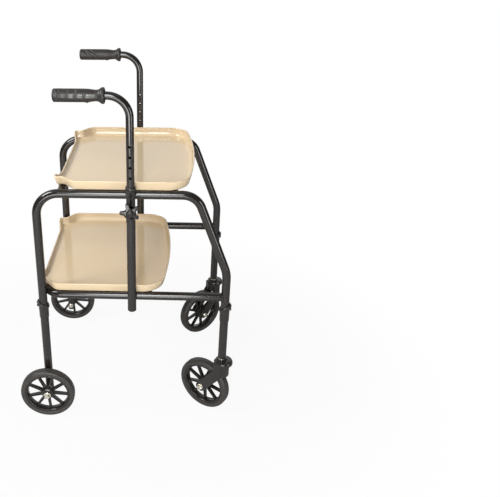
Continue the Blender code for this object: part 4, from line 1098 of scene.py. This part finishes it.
class TROLLEY_OT_trays(bpy.types.Operator):
    """Moulds both trays with their ears, ribs and bar clips"""
    bl_idname = "trolley.trays"
    bl_label = "Trays"

    def execute(self, context):
        t = context.scene.trolley_trays
        bars = {"upper_tray": (middle("cross_tube_upper_rear").x, TOP_RAIL_Z, 0.0095),
                "lower_tray": (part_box("lower_frame_tube")[0].x + TUBE_RADIUS, LOW_RAIL_Z,
                               TUBE_RADIUS)}
        clip_half = 0.007
        clip_y = HALF_WIDTH - context.scene.trolley_tubes.low_bend - clip_half
        for node, (bar_x, bar_z, bar_radius) in bars.items():
            floor = bar_z + TUBE_RADIUS + TOUCH_GAP
            bm = tray_mesh(t)
            drop = bar_z - floor
            inner, outer = bar_radius + 0.0004, bar_radius + 0.0030
            channel = [(inner * math.cos(a), drop + inner * math.sin(a))
                       for a in (math.pi * i / 16 for i in range(17))]
            lip, wall_top, in_floor = drop - 0.002, 0.0140, 0.0013
            clip = ([(inner, lip)] + channel
                    + [(-inner, lip), (-outer, lip), (-outer, wall_top), (-inner, wall_top),
                       (-inner, in_floor), (outer, in_floor), (outer, lip)])
            for _, sign in SIDES:
                prism(clip, sign * clip_y - clip_half, sign * clip_y + clip_half, SIDE_ON, bm)
                # Finger ribs stand on the inner face of each ear's side wall.
                for i in range(4):
                    foot = Vector((-0.0105 + 0.0045 * i, sign * 0.1795, t.wall))
                    top = Vector((-0.0108 + 0.0049 * i, sign * 0.1848, t.ear_height - 0.003))
                    along = (top - foot).normalized()
                    sweep([(foot, along, 0.0011), (top, along, 0.0009)],
                          along.orthogonal().normalized(), 10, bm=bm)
            fit(f"tray_{node.split('_')[0]}", bm, CREAM, node, node, at(bar_x, 0, floor),
                sharp=45)
        return {"FINISHED"}


class TROLLEY_OT_fittings(bpy.types.Operator):
    """Gives the small fittings that keep their CAD shape their real finishes"""
    bl_idname = "trolley.fittings"
    bl_label = "Small fittings"

    def execute(self, context):
        slots = {p["node"]: p["material_slot"] for p in frame["record"]["subparts"]}
        for name, node in frame["nodes"].items():
            finish = finish_of(slots[name])
            for slot in node.material_slots:
                slot.material = finish
        return {"FINISHED"}


# Studio

class TROLLEY_OT_stage(bpy.types.Operator):
    """Sets the pale floor, the soft lamps and the camera"""
    bl_idname = "trolley.stage"
    bl_label = "Studio"

    def execute(self, context):
        scene = context.scene
        scene.view_settings.view_transform = "Standard"
        self.floor(scene)
        self.surround(scene)
        self.lamp(scene, "front_softbox", (-0.15, -2.4, 1.95), (0.75, 1.6), 45)
        self.lamp(scene, "low_softbox", (-0.4, -2.4, 0.35), (1.4, 0.6), 22)
        self.lamp(scene, "left_softbox", (-1.6, -0.5, 2.1), (1.0, 1.0), 41)
        self.lamp(scene, "side_screen", (2.3, -1.7, 0.6), (0.6, 1.6), 22)
        self.lamp(scene, "top_softbox", (0.0, 0.2, 2.7), (2.4, 2.4), 7)
        self.camera(scene, scene.trolley_studio)
        return {"FINISHED"}

    def camera(self, scene, s):
        """The photographer's place and lens."""
        camera = bpy.data.cameras.new("camera")
        camera.sensor_width = 36
        camera.sensor_fit = "HORIZONTAL"
        camera.lens = s.lens
        camera.shift_x, camera.shift_y = s.shift
        stand = bpy.data.objects.new("camera", camera)
        scene.collection.objects.link(stand)
        look = Vector((math.sin(s.yaw) * math.cos(s.pitch), math.cos(s.yaw) * math.cos(s.pitch),
                       -math.sin(s.pitch)))
        right = Vector((math.cos(s.yaw), -math.sin(s.yaw), 0))
        up = right.cross(look)
        rolled = math.cos(s.roll) * right + math.sin(s.roll) * up
        up = math.cos(s.roll) * up - math.sin(s.roll) * right
        turn = Matrix((rolled, up, -look)).transposed()
        stand.matrix_world = at(*s.camera_place, turn)
        scene.camera = stand

    def floor(self, scene):
        """Seamless paper that the camera sees as white, with the trolley's shadow kept."""
        bm = bmesh.new()
        bmesh.ops.create_grid(bm, x_segments=1, y_segments=1, size=30.0)
        mesh = bpy.data.meshes.new("studio_floor")
        bm.to_mesh(mesh)
        bm.free()
        made = bpy.data.objects.new("studio_floor", mesh)
        scene.collection.objects.link(made)
        paper, tree, place = start_material("seamless_paper")
        grain = add_node(tree, "ShaderNodeTexNoise", Vector=place, Scale=60.0)
        tone = add_node(tree, "ShaderNodeMapRange", Value=grain.outputs["Fac"], To_Min=0.62,
                        To_Max=0.66)
        matt = add_node(tree, "ShaderNodeBsdfDiffuse", Color=tone.outputs["Result"])
        glow = add_node(tree, "ShaderNodeEmission", Color=(1, 1, 1, 1), Strength=1.0)
        rays = add_node(tree, "ShaderNodeLightPath")
        far = add_node(tree, "ShaderNodeVectorMath", {"operation": "LENGTH"}, _0=place)
        share = add_node(tree, "ShaderNodeMapRange", Value=far.outputs["Value"],
                         From_Min=0.45, From_Max=1.0, To_Min=0.93, To_Max=1.0)
        seen = add_node(tree, "ShaderNodeMath", {"operation": "MULTIPLY"},
                        _0=rays.outputs["Is Camera Ray"], _1=share.outputs["Result"])
        mix = add_node(tree, "ShaderNodeMixShader", _0=seen.outputs["Value"],
                       _1=matt.outputs["BSDF"], _2=glow.outputs["Emission"])
        add_node(tree, "ShaderNodeOutputMaterial", Surface=mix.outputs["Shader"])
        mesh.materials.append(paper)

    def surround(self, scene):
        """A dim room that the camera sees as white."""
        world = bpy.data.worlds.new("studio")
        scene.world = world
        world.use_nodes = True
        tree = world.node_tree
        tree.nodes.clear()
        rays = add_node(tree, "ShaderNodeLightPath")
        # Glossy surfaces mirror the white backdrop that stands behind the trolley.
        way = add_node(tree, "ShaderNodeTexCoord").outputs["Generated"]
        apart = add_node(tree, "ShaderNodeSeparateXYZ", Vector=way)
        behind = add_node(tree, "ShaderNodeMapRange", Value=apart.outputs["Y"], From_Min=0.50,
                          From_Max=0.75)
        sheen = add_node(tree, "ShaderNodeMath", {"operation": "MULTIPLY"},
                         _0=rays.outputs["Is Glossy Ray"], _1=behind.outputs["Result"])
        level = add_node(tree, "ShaderNodeMapRange", Value=sheen.outputs["Value"], To_Min=0.07,
                         To_Max=1.0)
        dim = add_node(tree, "ShaderNodeBackground", Color=(0.97, 0.98, 1.0, 1),
                       Strength=level.outputs["Result"])
        white = add_node(tree, "ShaderNodeBackground", Color=(1, 1, 1, 1), Strength=1.0)
        mix = add_node(tree, "ShaderNodeMixShader", _0=rays.outputs["Is Camera Ray"],
                       _1=dim.outputs["Background"], _2=white.outputs["Background"])
        add_node(tree, "ShaderNodeOutputWorld", Surface=mix.outputs["Shader"])

    def lamp(self, scene, name, place, size, power):
        """A soft lamp that points at the middle of the trolley."""
        light = bpy.data.lights.new(name, "AREA")
        light.shape = "RECTANGLE"
        light.size, light.size_y = size
        light.energy = power
        made = bpy.data.objects.new(name, light)
        scene.collection.objects.link(made)
        made.location = place
        aim = Vector((0, 0, 0.55)) - Vector(place)
        made.rotation_euler = aim.to_track_quat("-Z", "Y").to_euler()


class TROLLEY_PT_sidebar(bpy.types.Panel):
    """Sizes, colours and build steps of the walking trolley"""
    bl_idname = "TROLLEY_PT_sidebar"
    bl_label = "Walking trolley"
    bl_space_type = "VIEW_3D"
    bl_region_type = "UI"
    bl_category = "Trolley"

    def draw(self, context):
        for operator in OPERATORS:
            self.layout.operator(operator.bl_idname)
        for name, group in GROUPS.items():
            box = self.layout.box()
            box.label(text=group.__doc__)
            for key in group.__annotations__:
                box.prop(getattr(context.scene, name), key)


OPERATORS = (TROLLEY_OT_frame, TROLLEY_OT_handles, TROLLEY_OT_grips, TROLLEY_OT_knobs,
             TROLLEY_OT_legs, TROLLEY_OT_ferrules, TROLLEY_OT_wheels, TROLLEY_OT_casters,
             TROLLEY_OT_trays, TROLLEY_OT_fittings, TROLLEY_OT_stage)


def register():
    for group in GROUPS.values():
        bpy.utils.register_class(group)
    for name, group in GROUPS.items():
        setattr(bpy.types.Scene, name, PointerProperty(type=group))
    for operator in OPERATORS:
        bpy.utils.register_class(operator)
    bpy.utils.register_class(TROLLEY_PT_sidebar)


def unregister():
    bpy.utils.unregister_class(TROLLEY_PT_sidebar)
    for operator in reversed(OPERATORS):
        bpy.utils.unregister_class(operator)
    for name in GROUPS:
        delattr(bpy.types.Scene, name)
    for group in reversed(list(GROUPS.values())):
        bpy.utils.unregister_class(group)


def main():
    """Builds the trolley and its stage."""
    register()
    for operator in OPERATORS:
        family, action = operator.bl_idname.split(".")
        getattr(getattr(bpy.ops, family), action)()


if __name__ == "__main__":
    main()
